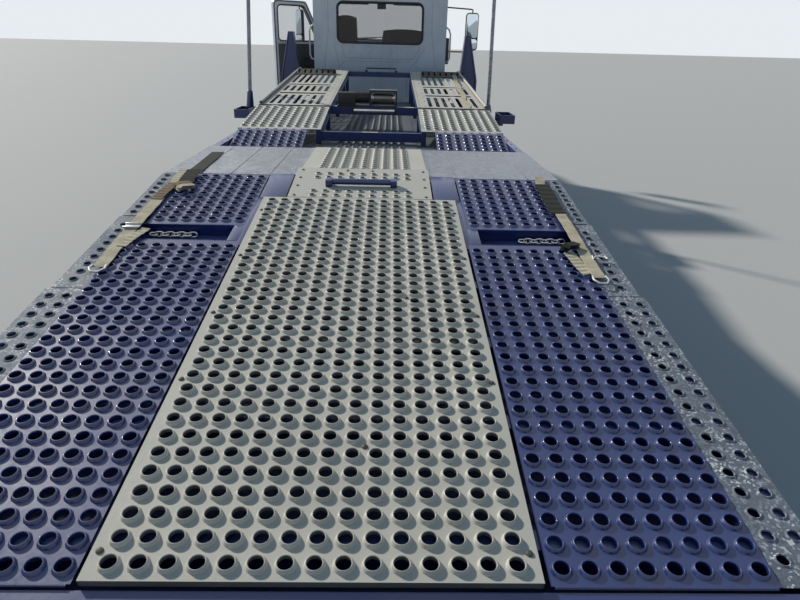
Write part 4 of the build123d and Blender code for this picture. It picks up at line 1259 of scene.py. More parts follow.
    def edges(self) -> None:
        """The weld bead behind the blue plates, the chain slots' lips and a painted-shade sheet below the
        holes.
        """
        beads = []
        for side in Side:
            bead = Form().turned([(-0.004, 0), (-0.002, 0.004), (0.002, 0.004), (0.004, 0)], sides=6)
            first = TAIL.frame(sided(side, 0.577, 1.112)[0], -0.046, self.plate_top - 0.003)
            beads.append(row(f"bead_{side.word}", bead, 108, (0.005, 0.0, 0.0), first, Stock.BLUE, 0.0007))
        placed(joined("sill_weld", beads), Stock.BLUE)
        lips = Form()
        slope, top = TAIL.frame(), self.plate_top
        for x, along in (((0.586, 1.097), (1.797, 1.801)), ((0.586, 1.097), (1.981, 1.985)),
                         ((0.58, 0.634), (1.797, 1.985))):
            lips.twins(x, along, (-0.088, top), slope)
        placed(lips.made("slot_lips", 0.001), Stock.BLUE)
        margins = Form().twins((0.55, 0.585), (1.75, 2.362), (self.beam_top, top - 0.0005), slope)
        margins.twins((0.431, 0.577), (2.366, 2.774), (top, top + 0.0015), slope)
        placed(margins.made("blue_margins", 0.0006), Stock.BLUE)
        # A dark sheet below the holes that paints the shade seen through them.
        below = Form().box((-self.half, self.half), (-0.04, 2.74), (self.belly, self.belly + 0.003), slope)
        placed(below.made("belly_sheet"), Stock.NAVY)

    def build(self) -> None:
        """Builds the tail."""
        self.centre_panel()
        self.wheel_plates()
        self.side_strips()
        self.hatch_lid()
        self.edges()


@dataclass(frozen=True)
class MiddleDeck:
    """The level deck between the tail and the cab: the punched floor and the seams.

    The band and the floor are the heights of their tops.
    """

    band: float = 1.235
    floor: float = 1.15

    def floor_sheets(self) -> None:
        """The punched sheets between the tracks, at the holes' pitch, over a dark sheet of painted shade."""
        # Name, finish, the deck below, ends along Y, rows and the first row's Y
        table = (
            ("band", Stock.PALE, self.band, (-2.828, -1.902), 12, -2.77),
            # The low floor's darker finish is painted shade.
            ("low", Stock.PRIMER, self.floor, (-1.893, 1.3), 44, -1.82),
        )
        for name, stock, z, ends, rows, first in table:
            sheet = PunchedSheet(f"{name}_floor", (-0.418, 0.418), ends, 9, rows, (-0.28, first), edge=0.0045)
            placed(sheet.make(stock, moved(0.0, 0.0, z + 0.0065)), stock)
            # A dark sheet just below the holes: painted shade seen through them.
            under = Form().box((-0.412, 0.412), (ends[0] + 0.006, ends[1] - 0.006), (z, z + 0.002))
            placed(under.made(f"{name}_underside"), Stock.NAVY)
        # The low deck in the same darkened pale paint: painted shade.
        deck = Form().box((-1.199, 1.199), (-1.893, 2.998), (self.floor, self.floor + 0.0015))
        placed(deck.made("low_sheet"), Stock.PRIMER)

    def seams(self) -> None:
        """Raised joint strips across the band, and screws along the side rails."""
        strips = Form()
        for x, start in (((0.596, 0.604), -2.935), ((0.842, 0.85), -2.935), ((1.062, 1.07), -2.935),
                         ((0.4, 0.44), -2.94)):
            strips.twins(x, (start, -1.905), (self.band, self.band + 0.0025))
        placed(strips.made("deck_seams", 0.0008), Stock.ZINC)
        heads = []
        for x in (-1.232, 1.232):
            heads.append(row(f"rail_screws_{x > 0}", dome(0.009, 0.006), 24, (0.0, 0.205, 0.0),
                             moved(x, -1.86, 1.227), Stock.ZINC))
        placed(joined("rail_screws", heads), Stock.ZINC)

    def build(self) -> None:
        """Builds the middle deck's details."""
        self.floor_sheets()
        self.seams()


@dataclass(frozen=True)
class RaisedTracks:
    """The raised wheel tracks: punched plates, hinged flaps and the rivets on the ladders' smooth edge.

    Each field is an edge, (Y, Z), from the flaps' free tip to the tracks' front end.
    """

    tip: Pair = (-1.65, 1.172)
    hinge: Pair = (-1.208, 1.282)
    head: Pair = (-1.2, 1.284)
    knee: Pair = (-0.3, 1.39)
    front: Pair = (2.83, 1.6)

    def flap(self, side: Side) -> None:
        """One side's hinged flap with its holes, rolled edges and hinge knuckles.

        Args:
            side: The side.
        """
        place = incline(self.tip, self.hinge)
        inner, outer = sided(side, 0.576, 1.191)
        sheet = PunchedSheet(f"flap_{side.word}", (inner, outer), (0.01, 0.454), 8, 5,
                             (inner + 0.0415, 0.085), hole=0.0205, rise=0.009, dome=0.009,
                             pitch=(0.076, 0.072))
        plate = sheet.make(Stock.BLUE, place)
        rim = Form()
        for k in range(8):
            x = inner + 0.0415 + k * 0.076
            rim.box((x - 0.024, x + 0.024), (-0.002, 0.0105), (-0.006, -0.0005), place)
        ends = (inner + 0.008, outer - 0.008)
        rim.tube([place @ Vector((x, 0.01, -0.008)) for x in ends], 0.0075, 10)
        for x in ends:
            rim.tube([place @ Vector((x, y, -0.008)) for y in (0.012, 0.445)], 0.0075, 10)
        edge = rim.made(f"flap_rim_{side.word}", sharp=40)
        placed(joined(f"flap_sheet_{side.word}", [plate, edge]), Stock.BLUE, f"flap_{side.word}",
               (f"flap_{side.word}",))
        knuckles = Form()
        for k in range(7):
            x = inner + 0.03 + k * 0.08
            knuckles.tube([(x, self.hinge[0] - 0.004, 1.276), (x + 0.05, self.hinge[0] - 0.004, 1.276)],
                          0.0085, 12)
        placed(knuckles.made(f"flap_knuckles_{side.word}"), Stock.STEEL, f"flap_{side.word}")

    def punched_plates(self) -> None:
        """The punched plates ahead of the flaps."""
        sheets = []
        for side in Side:
            sheet = PunchedSheet(f"track_plate_{side.word}", sided(side, 0.456, 1.199), (0.002, 0.9), 9, 10,
                                 (sided(side, 0.52, 1.16)[0], 0.085), hole=0.0215, rise=0.009, dome=0.009,
                                 pitch=(0.08, 0.0825), edge=0.012)
            sheets.append(sheet.make(Stock.PALE, incline(self.head, self.knee)))
        placed(joined("track_plate_sheets", sheets), Stock.PALE, nodes=("track_plates",))

    def rivets(self) -> None:
        """Rivets along the smooth inner edge and beside the tube."""
        place = incline(self.knee, self.front)
        lines = []
        for side in Side:
            for x, count, step, start in ((0.48, 21, 0.145, 0.1), (0.545, 11, 0.29, 0.17)):
                lines.append(row(f"rivets_{side.word}_{x}", dome(0.0075, 0.004), count, (0.0, step, 0.0),
                                 place @ moved(side.value * x, start, 0.0), Stock.CAST))
        placed(joined("track_rivets", lines), Stock.CAST)

    def build(self) -> None:
        """Builds the raised tracks."""
        for side in Side:
            self.flap(side)
        self.punched_plates()
        self.rivets()


@dataclass(frozen=True)
class TieDowns:
    """The webbing straps on the tail, their hooks and buckle, and the chains in the slots.

    The top is how high the straps lie off the slope, on the collars.
    """

    top: float = -0.0125

    def laid(self, start: Pair, end: Pair, lift: float = 0.0, count: int = 24) -> list[Point]:
        """The path of a strap that lies over the collars and dips a little between them.

        Args:
            start: Its first (X, along).
            end: Its last.
            lift: How far it lies above the first layer.
            count: How many points it has.

        Returns:
            The path's points.
        """
        path = []
        for k in range(count + 1):
            t = k / count
            sway = 0.004 * math.sin(5.0 * t + start[0] * 9.0)
            path.append((start[0] + (end[0] - start[0]) * t + sway, start[1] + (end[1] - start[1]) * t,
                         self.top + lift + 0.0016 * math.sin(40.0 * t)))
        return path

    def straps(self) -> None:
        """The pale straps, a second length folded on each, and the dark sleeves."""
        frame = TAIL.frame()
        # Name, finish, first and last (X, along), lift and width
        table = (
            ("left_long", Stock.WEB, (-1.121, 1.475), (-1.13, 2.29), 0.0, 0.064),
            ("left_worn", Stock.WORN, (-1.136, 2.27), (-1.112, 2.52), 0.004, 0.064),
            ("left_upper", Stock.WEB, (-1.111, 2.5), (-1.122, 2.765), 0.001, 0.06),
            ("left_under", Stock.WEB, (-1.104, 1.68), (-1.058, 1.885), 0.002, 0.048),
            ("left_sleeve", Stock.SLEEVE, (-1.044, 2.52), (-1.06, 2.76), 0.006, 0.088),
            ("right_long", Stock.WEB, (1.123, 1.445), (1.112, 2.17), 0.004, 0.058),
            ("right_second", Stock.WEB, (1.084, 1.485), (1.04, 1.7), 0.0, 0.054),
            ("right_sleeve", Stock.SLEEVE, (1.106, 2.165), (1.104, 2.615), 0.007, 0.088),
            ("right_end", Stock.WEB, (1.106, 2.6), (1.116, 2.76), 0.004, 0.058),
        )
        for name, stock, start, end, lift, wide in table:
            strip = ribbon(f"strap_{name}", self.laid(start, end, lift), wide, frame)
            placed(strip, stock, nodes=("straps",) if name == "left_long" else ())
        over = [(-1.062, -2.985, 1.24), (-1.078, -2.9, 1.242), (-1.09, -2.7, 1.2375), (-1.1, -2.45, 1.241),
                (-1.118, -2.2, 1.238)]
        placed(ribbon("strap_sleeve_end", over, 0.088, HERE), Stock.SLEEVE)
        folds = ((-1.05, 2.44, Stock.WORN), (-1.02, 2.4, Stock.WEB), (1.052, 1.705, Stock.SLEEVE))
        for k, (x, along, stock) in enumerate(folds):
            loops = []
            for j in range(3):
                up = self.top + 0.006 + 0.009 * j
                path = [(x - 0.035 + 0.004 * j, along, up), (x - 0.012, along + 0.02, up + 0.007),
                        (x + 0.02, along + 0.032, up + 0.006), (x + 0.045, along + 0.058, up)]
                loops.append(ribbon(f"fold_{k}_{j}", path, 0.042, frame))
            placed(joined(f"strap_fold_{k}", loops), stock)
        track = incline((-0.3, 1.39), (2.83, 1.6))
        path = [(1.055, 2.52, 0.04), (1.062, 2.35, 0.03), (1.04, 2.1, 0.006), (1.052, 1.7, 0.0035),
                (1.018, 1.3, 0.006), (1.035, 0.95, 0.0035), (0.985, 0.55, 0.007), (1.01, 0.25, 0.004),
                (0.968, 0.02, 0.006)]
        placed(ribbon("strap_track", path, 0.06, track), Stock.WEB)

    def hooks(self) -> None:
        """The straps' wire hooks and the left strap's buckle."""
        steel = Form()
        for x, along, turn in ((-1.12, 1.45, 1), (1.12, 1.42, 1), (1.175, 1.62, -1)):
            loop = [(x - 0.03, along + 0.035), (x - 0.034, along), (x - 0.016, along - 0.03 * turn),
                    (x + 0.016, along - 0.03 * turn), (x + 0.034, along), (x + 0.03, along + 0.035)]
            steel.tube([TAIL.point(a, b, self.top + 0.008) for a, b in loop], 0.005, 8)
        x, along = -1.129, 1.905
        steel.box((x - 0.038, x + 0.038), (along - 0.024, along + 0.024),
                  (self.top + 0.004, self.top + 0.008), TAIL.frame())
        for step in (-0.022, 0.022):
            steel.tube([TAIL.point(a, along + step, self.top + 0.011) for a in (x - 0.04, x + 0.04)],
                       0.004, 8)
        placed(steel.made("strap_hooks", 0.0008, 40), Stock.STEEL)

    def chains(self) -> None:
        """The chains of short links that lie in the slots."""
        pieces = []
        turns = [math.tau * k / 16 for k in range(16)]
        for name, x, along in (("left", -1.05, 1.95), ("right", 0.872, 1.945)):
            unit = Form()
            for step, tilt in ((0.0, 12.0), (0.029, 78.0)):
                link = moved(step, 0.0, 0.0) @ spun(tilt, "X")
                oval = [(math.copysign(0.008, math.cos(a)) + 0.0125 * math.cos(a), 0.0125 * math.sin(a), 0.0)
                        for a in turns]
                unit.tube([link @ Vector(point) for point in oval], 0.0042, 8, closed=True)
            first = TAIL.frame(x, along, -0.0705)
            pieces.append(row(f"chain_{name}", unit, 4, (0.058, 0.0, 0.0), first, Stock.STEEL, 0.0015))
        placed(joined("chain_links", pieces), Stock.STEEL, nodes=("chains",))

    def build(self) -> None:
        """Builds the tie-downs."""
        self.straps()
        self.hooks()
        self.chains()


@dataclass(frozen=True)
class Winch:
    """The winch's tie bars, ribbed motor, rope and bright roller, and the header's rod frame.

    The axis is (Y, Z), and the drum has its ends across.
    """

    axis: Pair = (-0.09, 1.47)
    drum: Pair = (-0.022, 0.212)

    def build(self) -> None:
        """Builds the winch."""
        y, z = self.axis
        bars = Form()
        for step in (-0.055, 0.055):
            bars.tube([(x, y + step, 1.53) for x in (-0.05, 0.24)], 0.011, 12)
        bars.box((-0.05, 0.24), (y - 0.066, y + 0.066), (1.545, 1.553))
        bars.box((-0.392, 0.242), (-0.131, -0.049), (1.392, 1.398))
        placed(bars.made("winch_frame", 0.002), Stock.GREY)
        fin = Form().turned([(-0.004, 0.0485), (-0.004, 0.057), (0.004, 0.057), (0.004, 0.0485)], sides=28)
        placed(row("motor_fins", fin, 8, (0.017, 0.0, 0.0), moved(-0.19, y, z), Stock.BLACK), Stock.BLACK)
        case = Form().box((-0.384, -0.196), (y - 0.063, y + 0.063), (1.4, 1.523))
        placed(case.made("winch_case", 0.012, segments=3), Stock.BLACK)
        steps = [math.tau * k / 8 for k in range(8)]
        coil = Form().turned([(0.0055 * math.cos(a), 0.0385 + 0.0055 * math.sin(a)) for a in steps], sides=28)
        wound = row("winch_rope", coil, 18, (0.011, 0.0, 0.0), moved(self.drum[0] + 0.021, y, z), Stock.ROPE)
        placed(wound, Stock.ROPE, "winch_drum")
        roller = [(-0.215, 0), (-0.215, 0.0185), (0.215, 0.0185), (0.215, 0)]
        placed(Form().turned(roller, moved(0.0, -0.16, 1.345), 24).made("guide_roller"), Stock.STEEL)
        rods = Form()
        rods.tube([(x, 2.79, h) for x, h in ((-0.19, 1.588), (-0.19, 1.64), (0.25, 1.64), (0.25, 1.588))],
                  0.009, 10)
        for x in (-0.19, 0.25):
            rods.box((x - 0.02, x + 0.02), (2.772, 2.808), (1.59, 1.612))
        placed(rods.made("header_rods"), Stock.BLACK)
        wear = Form().box((-0.09, 0.06), (-1.16, -1.12), (1.26, 1.2612))
        wear.twins((0.24, 0.42), (-0.125, -0.055), (1.38, 1.3812))
        placed(wear.made("bar_wear"), Stock.PALE)


@dataclass(frozen=True)
class Uprights:
    """The poles' cones, the boxes' rims and the posts' struts.

    Attributes:
        cones: Each cone's X, Y, top and lean in degrees.
        foot: Z of their lower ends.
    """

    cones: tuple[tuple[float, float, float, float], ...] = ((-1.492, 0.668, 1.45, 3.2),
                                                            (1.375, 0.9, 1.33, -1.2))
    foot: float = 1.1884

    def build(self) -> None:
        """Builds the uprights' details."""
        sockets = Form()
        for x, y, top, lean in self.cones:
            high = top - self.foot
            section = [(0, 0), (0, 0.0435), (0.082, 0.0435), (high, 0.0305), (high + 0.01, 0.0222),
                       (high + 0.01, 0)]
            sockets.turned(section, moved(x, y, self.foot) @ spun(lean - 90, "Y"), 28)
        placed(sockets.made("pole_sockets"), Stock.BLUE)
        trim = Form()
        for x in ((1.436, 1.448), (1.594, 1.606)):
            trim.twins(x, (0.35, 0.72), (1.27, 1.274))
        for y in ((0.35, 0.362), (0.708, 0.72)):
            trim.twins((1.436, 1.606), y, (1.27, 1.274))
        placed(trim.made("box_rims", 0.001), Stock.GREY)
        struts = Form()
        for s in (-1, 1):
            struts.tube([(s * 1.235, 2.852, 1.235), (s * 1.262, 2.852, 1.6), (s * 1.3, 2.852, 2.1)],
                        0.012, 10)
            struts.tube([(s * 1.44, 2.85, 1.14), (s * 1.452, 2.85, 1.5), (s * 1.342, 2.85, 2.06)], 0.01, 10)
        for z in (1.3, 1.62, 1.94):
            struts.twins((1.25, 1.385 - (z - 1.3) * 0.1), (2.85, 2.862), (z, z + 0.022))
        placed(struts.made("post_struts"), Stock.BLUE)


def softened(points: Sequence[Pair], corner: float, steps: int = 5) -> list[Pair]:
    """Rounds the corners of a closed outline.

    Args:
        points: The outline's corners.
        corner: How far from a corner its curve starts.
        steps: The steps of a curve.

    Returns:
        The rounded outline.
    """
    outline = []
    for before, here, after in zip(points[-1:] + points[:-1], points, points[1:] + points[:1]):
        middle = Vector(here)
        start = middle + (Vector(before) - middle).normalized() * corner
        end = middle + (Vector(after) - middle).normalized() * corner
        for k in range(steps + 1):
            t = k / steps
            outline.append(tuple(start * (1 - t) ** 2 + middle * 2 * t * (1 - t) + end * t * t))
    return outline


@dataclass(frozen=True)
class Cab:
    """The cab's rubbers, pressings, handles, wipers and what shows through its glass.

    The windscreen is given by its middle and the direction up it, both (Y, Z).
    """

    rear: float = 3.25
    glass_middle: Pair = (4.31, 2.325)
    glass_up: Pair = (-0.4617, 0.887)

    def screen(self, x: float, up: float, out: float = 0.0) -> Point:
        """A point of the windscreen: across, up the glass and out of it."""
        y = self.glass_middle[0] + up * self.glass_up[0] + out * self.glass_up[1]
        z = self.glass_middle[1] + up * self.glass_up[1] - out * self.glass_up[0]
        return (x, y, z)

    def rubbers(self) -> None:
        """The rubbers round the rear window and the windscreen, and the wipers."""
        work = Form()
        for growth, radius, y in ((0.004, 0.015, self.rear - 0.002), (-0.004, 0.012, self.rear + 0.018)):
            outline = rounded(0.645 + growth, 1.985 - growth, 2.54 + growth, 0.085)
            work.tube([(x, y, z) for x, z in outline], radius, 10, closed=True)
        work.tube([self.screen(x, up, 0.006) for x, up in rounded(0.885, -0.345, 0.345, 0.065)], 0.014, 10,
                  closed=True)
        for x in (-0.5, 0.28):
            arm = ((x, -0.385, 0.03), (x + 0.06, -0.35, 0.035), (x + 0.42, -0.315, 0.022))
            work.tube([self.screen(*point) for point in arm], 0.007, 8)
            work.tube([self.screen(x + 0.08, -0.32, 0.014), self.screen(x + 0.56, -0.296, 0.014)], 0.006, 8)
        placed(work.made("cab_rubbers"), Stock.RUBBER)

    def pressings(self) -> None:
        """The pressed lines of the rear wall, the roof's gutters and the cowl."""
        work = Form()
        y = self.rear + 0.001
        lines = (
            [(-0.6, 1.95), (-0.545, 1.775), (-0.5, 1.764), (0.48, 1.764), (0.525, 1.775), (0.63, 1.95)],
            [(-0.64, 1.6), (-0.56, 1.712), (-0.5, 1.722), (0.46, 1.722)],
            [(-0.7, 1.94), (-0.62, 1.6), (-0.64, 1.2)],
            [(0.7, 1.94), (0.43, 1.56), (0.42, 1.2)],
            [(-0.86, 1.15), (-0.85, 1.7), (-0.79, 2.15), (-0.79, 2.56)],
            [(0.86, 1.15), (0.85, 1.7), (0.79, 2.15), (0.79, 2.56)],
            [(-0.93, 1.1), (0.93, 1.1)],
        )
        for line in lines:
            work.tube([(x, y, z) for x, z in line], 0.006, 8)
        gutter = ((1.004, 3.36, 2.655), (1.012, 3.6, 2.64), (1.012, 4.02, 2.635), (1.004, 4.12, 2.624))
        for s in (-1, 1):
            work.tube([(s * x, y, z) for x, y, z in gutter], 0.01, 8)
        placed(work.made("cab_pressings"), Stock.GRAB)
        cowl = Form().box((-0.9, 0.9), (4.47, 4.502), (1.945, 1.985))
        placed(cowl.made("cab_cowl", 0.006), Stock.PLASTIC)

    def fittings(self) -> None:
        """Grab handles at the rear corners, the right side's dark box, the guards and the rear lamp."""
        bars = Form()
        bow = ((1.008, 1.725), (1.062, 1.74), (1.085, 1.79), (1.085, 2.13), (1.062, 2.195), (1.008, 2.235))
        for s in (-1, 1):
            bars.tube([(s * x, 3.33, z) for x, z in bow], 0.0125, 12)
        for z in (1.725, 2.235):
            bars.twins((1.013, 1.019), (3.302, 3.358), (z - 0.028, z + 0.028))
        placed(bars.made("grab_handles", 0.001), Stock.GRAB)
        dark = Form().box((1.014, 1.075), (3.385, 3.5), (1.7, 2.08))
        placed(dark.made("side_box", 0.012, segments=3), Stock.PLASTIC)
        wings = Form().twins((0.93, 1.12), (3.268, 3.52), (1.3, 1.345))
        wings.twins((1.017, 1.12), (3.268, 3.31), (1.14, 1.3))
        placed(wings.made("cab_guards", 0.01, segments=3), Stock.PLASTIC)
        lamp = Form().box((-0.06, 0.06), (self.rear - 0.022, self.rear), (2.62, 2.66))
        placed(lamp.made("cab_rear_lamp", 0.006), Stock.CLEAR)

    def inside(self) -> None:
        """The interior mirror, sun visors, instruments and the round of the steering wheel."""
        trim = Form().box((-0.06, 0.08), (3.96, 3.985), (2.482, 2.56))
        trim.tube([(0.01, 3.98, 2.55), (0.01, 4.02, 2.7)], 0.007, 8)
        trim.twins((0.2, 0.74), (4.0, 4.03), (2.545, 2.68))
        placed(trim.made("cab_trim", 0.006), Stock.PLASTIC)
        rake = moved(-0.48, 4.02, 1.76) @ spun(29.9, "X")
        turns = (math.tau * k / 40 for k in range(40))
        circle = [rake @ Vector((0.216 * math.cos(a), 0.216 * math.sin(a), 0.0)) for a in turns]
        wheel = Form().tube(circle, 0.0185, 12, closed=True)
        wheel.turned([(-0.02, 0), (-0.02, 0.058), (0.01, 0.058), (0.024, 0.04), (0.026, 0)],
                     rake @ spun(-90, "Y"), 28)
        placed(wheel.made("wheel_grip"), Stock.PLASTIC)
        dials = Form()
        for x in (-0.62, -0.5, -0.38, -0.27):
            tilt = moved(x, 4.214, 1.838) @ spun(123.7, "X")
            dials.turned([(0, 0), (0, 0.046), (0.008, 0.046), (0.008, 0.041), (0.004, 0.04), (0.004, 0)],
                         tilt @ spun(90, "Y"), 28)
        placed(dials.made("dials"), Stock.TRIM)

    def build(self) -> None:
        """Builds the cab's details."""
        self.rubbers()
        self.pressings()
        self.fittings()
        self.inside()


@dataclass(frozen=True)
class Door:
    """A door's rubbers, handle, hinges and inner trim, and the mirror on it.

    The swing is in degrees about Z. The window and the outline hold their corners, (Y, Z).
    """

    side: Side
    swing: float
    face: float = 1.015
    hinge_y: float = 4.46
    window: tuple[Pair, ...] = ((3.61, 1.98), (4.365, 1.98), (4.1, 2.51), (3.61, 2.51))
    outline: tuple[Pair, ...] = ((3.556, 1.136), (4.444, 1.136), (4.444, 1.936), (4.126, 2.564),
                                 (3.556, 2.564))

    @property
    def body(self) -> str:
        """The body that the door's pieces ride on."""
        return f"door_{self.side.word}"

    def finished(self, work: Form, name: str, stock: Stock, bevel: float = 0.0,
                 nodes: Sequence[str] = ()) -> None:
        """Swings a form built on the shut door to where the door stands, and places it.

        Args:
            work: The form.
            name: The piece's name without its side.
            stock: Its finish.
            bevel: How wide its edges are rounded.
            nodes: The nodes that it replaces.
        """
        piece = work.made(f"{name}_{self.side.word}", bevel)
        pivot = moved(self.side.value * self.face, self.hinge_y, 0.0)
        piece.data.transform(pivot @ spun(self.swing, "Z") @ pivot.inverted())
        placed(piece, stock, self.body, nodes)

    def rubbers(self) -> None:
        """The rubbers round the window and the door's inner edge."""
        s = self.side.value
        work = Form()
        for x, radius in ((self.face - 0.001, 0.01), (self.face - 0.059, 0.011)):
            work.tube([(s * x, y, z) for y, z in softened(list(self.window), 0.07)], radius, 10, closed=True)
        work.tube([(s * (self.face - 0.0595), y, z) for y, z in softened(list(self.outline), 0.07)], 0.008,
                  8, closed=True)
        work.box(sided(self.side, self.face, self.face + 0.006), (3.575, 4.42), (1.935, 1.955))
        self.finished(work, "door_rubbers", Stock.RUBBER)

    def handle(self) -> None:
        """The outer handle in its cup, and the hinges."""
        out = Form().box(sided(self.side, self.face, self.face + 0.008), (3.6, 3.79), (1.79, 1.87))
        out.box(sided(self.side, self.face + 0.008, self.face + 0.026), (3.615, 3.775), (1.838, 1.858))
        for z in (1.3, 1.76):
            out.tube([(self.side.value * (self.face + 0.006), self.hinge_y - 0.01, h) for h in (z, z + 0.1)],
                     0.012, 12)
        self.finished(out, "door_handle", Stock.PLASTIC, 0.003)

    def trim(self) -> None:
        """The inner panel with its armrest, pocket and window crank."""
        inner = self.face - 0.06
        panel = Form().box(sided(self.side, inner - 0.012, inner), (3.595, 4.425), (1.165, 1.935))
        self.finished(panel, "door_panel", Stock.PANEL, 0.004)
        more = Form()
        for deep, thin, y, z in (
            (0.06, 0.012, (3.7, 4.16), (1.56, 1.61)), (0.05, 0.012, (3.66, 4.3), (1.19, 1.33)),
            (0.03, 0.012, (4.09, 4.13), (1.69, 1.73)), (0.042, 0.03, (4.0, 4.13), (1.7, 1.718)),
        ):
            more.box(sided(self.side, inner - deep, inner - thin), y, z)
        self.finished(more, "door_armrest", Stock.PLASTIC, 0.006)

    def mirror(self) -> None:
        """The mirror's case, its two glasses and its arms."""
        s = self.side.value
        place = moved(s * 1.53, 4.3, 0.0) @ spun(90, "Z")
        case = Form().prism(rounded(0.11, 1.895, 2.48, 0.055), (0.006, 0.06), place)
        arms = Form()
        for y, z, bend, end in ((4.115, 2.545, 2.53, 2.47), (4.33, 1.87, 1.87, 1.905)):
            arms.box(sided(self.side, self.face, self.face + 0.014), (y - 0.018, y + 0.018),
                     (z - 0.018, z + 0.018))
            arms.tube([(s * (self.face + 0.01), y, z), (s * 1.505, 4.322, bend),
                       (s * 1.53, 4.33, bend - 0.004), (s * 1.53, 4.33, end)], 0.011, 12)
        whole = Form()
        for piece in (case.made("case", 0.016, segments=4), arms.made("rods")):
            whole.mesh.from_mesh(piece.data)
            bpy.data.objects.remove(piece)
        self.finished(whole, "mirror_case", Stock.PLASTIC, nodes=(f"mirror_{self.side.word}",))
        glass = Form()
        for low, high in ((1.915, 2.075), (2.09, 2.462)):
            glass.prism(rounded(0.096, low, high, 0.042), (0.0005, 0.007), place)
        self.finished(glass, "mirror_glass", Stock.MIRROR, 0.002)

    def build(self) -> None:
        """Builds the door's details."""
        self.rubbers()
        self.handle()
        self.trim()
        self.mirror()


@dataclass(frozen=True)
class Seats:
    """The driver's high-backed seat and the bench, with crowned cushions and sewn channels.

    Attributes:
        steps: How finely a cushion's faces are divided.
    """

    steps: int = 19

    def cushion(self, name: str, x: Pair, y: Pair, z: Pair, channels: Sequence[float], flat: int) -> None:
        """One crowned cushion, pulled in along its seams.

        Args:
            name: The piece's name.
            x: Its lowest and highest X.
            y: Its lowest and highest Y.
            z: Its lowest and highest Z.
            channels: Where its sewn channels run, from -1 to 1 across.
            flat: The axis through its thickness.
        """
        work = bmesh.new()
        bmesh.ops.create_cube(work, size=2.0)
        bmesh.ops.subdivide_edges(work, edges=work.edges, cuts=self.steps, use_grid_fill=True)
        middle = Vector([sum(pair) / 2 for pair in (x, y, z)])
        half = Vector([(pair[1] - pair[0]) / 2 for pair in (x, y, z)])
        long_axis = 2 if flat == 1 else 1
        for vert in work.verts:
            p = vert.co.copy()
            q = Vector()
            for axis in range(3):
                a, b = p[(axis + 1) % 3] ** 2, p[(axis + 2) % 3] ** 2
                q[axis] = p[axis] * math.sqrt(1 - 0.16 * (a + b) + 0.1 * a * b)
            dent = sum(0.1 * math.exp(-((p[long_axis] - line) / 0.035) ** 2) for line in channels)
            seam = 0.05 * math.exp(-((abs(p[flat]) - 0.62) / 0.09) ** 2)
            q[flat] *= 1 - dent
            for axis in range(3):
                if axis != flat:
                    q[axis] *= 1 - seam
            vert.co = middle + Vector([q[axis] * half[axis] for axis in range(3)])
            vert.co[0] += 0.002 * math.sin(31 * p[1] + 17 * p[2])
        for face in work.faces:
            face.smooth = True
        piece = object_from(work, name)
        placed(piece, Stock.CLOTH, nodes=("seats",) if name == "driver_cushion" else ())

    def build(self) -> None:
        """Builds both seats."""
        self.cushion("driver_cushion", (-0.735, -0.265), (3.435, 3.895), (1.395, 1.54), (-0.45, 0.0, 0.45), 2)
        self.cushion("driver_back", (-0.708, -0.352), (3.335, 3.468), (1.54, 2.366),
                     (-0.6, -0.3, 0.0, 0.3, 0.55), 1)
        self.cushion("bench_cushion", (0.005, 0.715), (3.435, 3.895), (1.395, 1.54), (-0.45, 0.0, 0.45), 2)
        self.cushion("bench_back", (0.022, 0.698), (3.335, 3.468), (1.54, 2.188), (-0.5, -0.15, 0.2, 0.55), 1)
        base = Form()
        for x in ((-0.7, -0.3), (0.04, 0.68)):
            base.box(x, (3.47, 3.86), (1.141, 1.4))
        placed(base.made("seat_bases", 0.012, segments=3), Stock.TRIM)


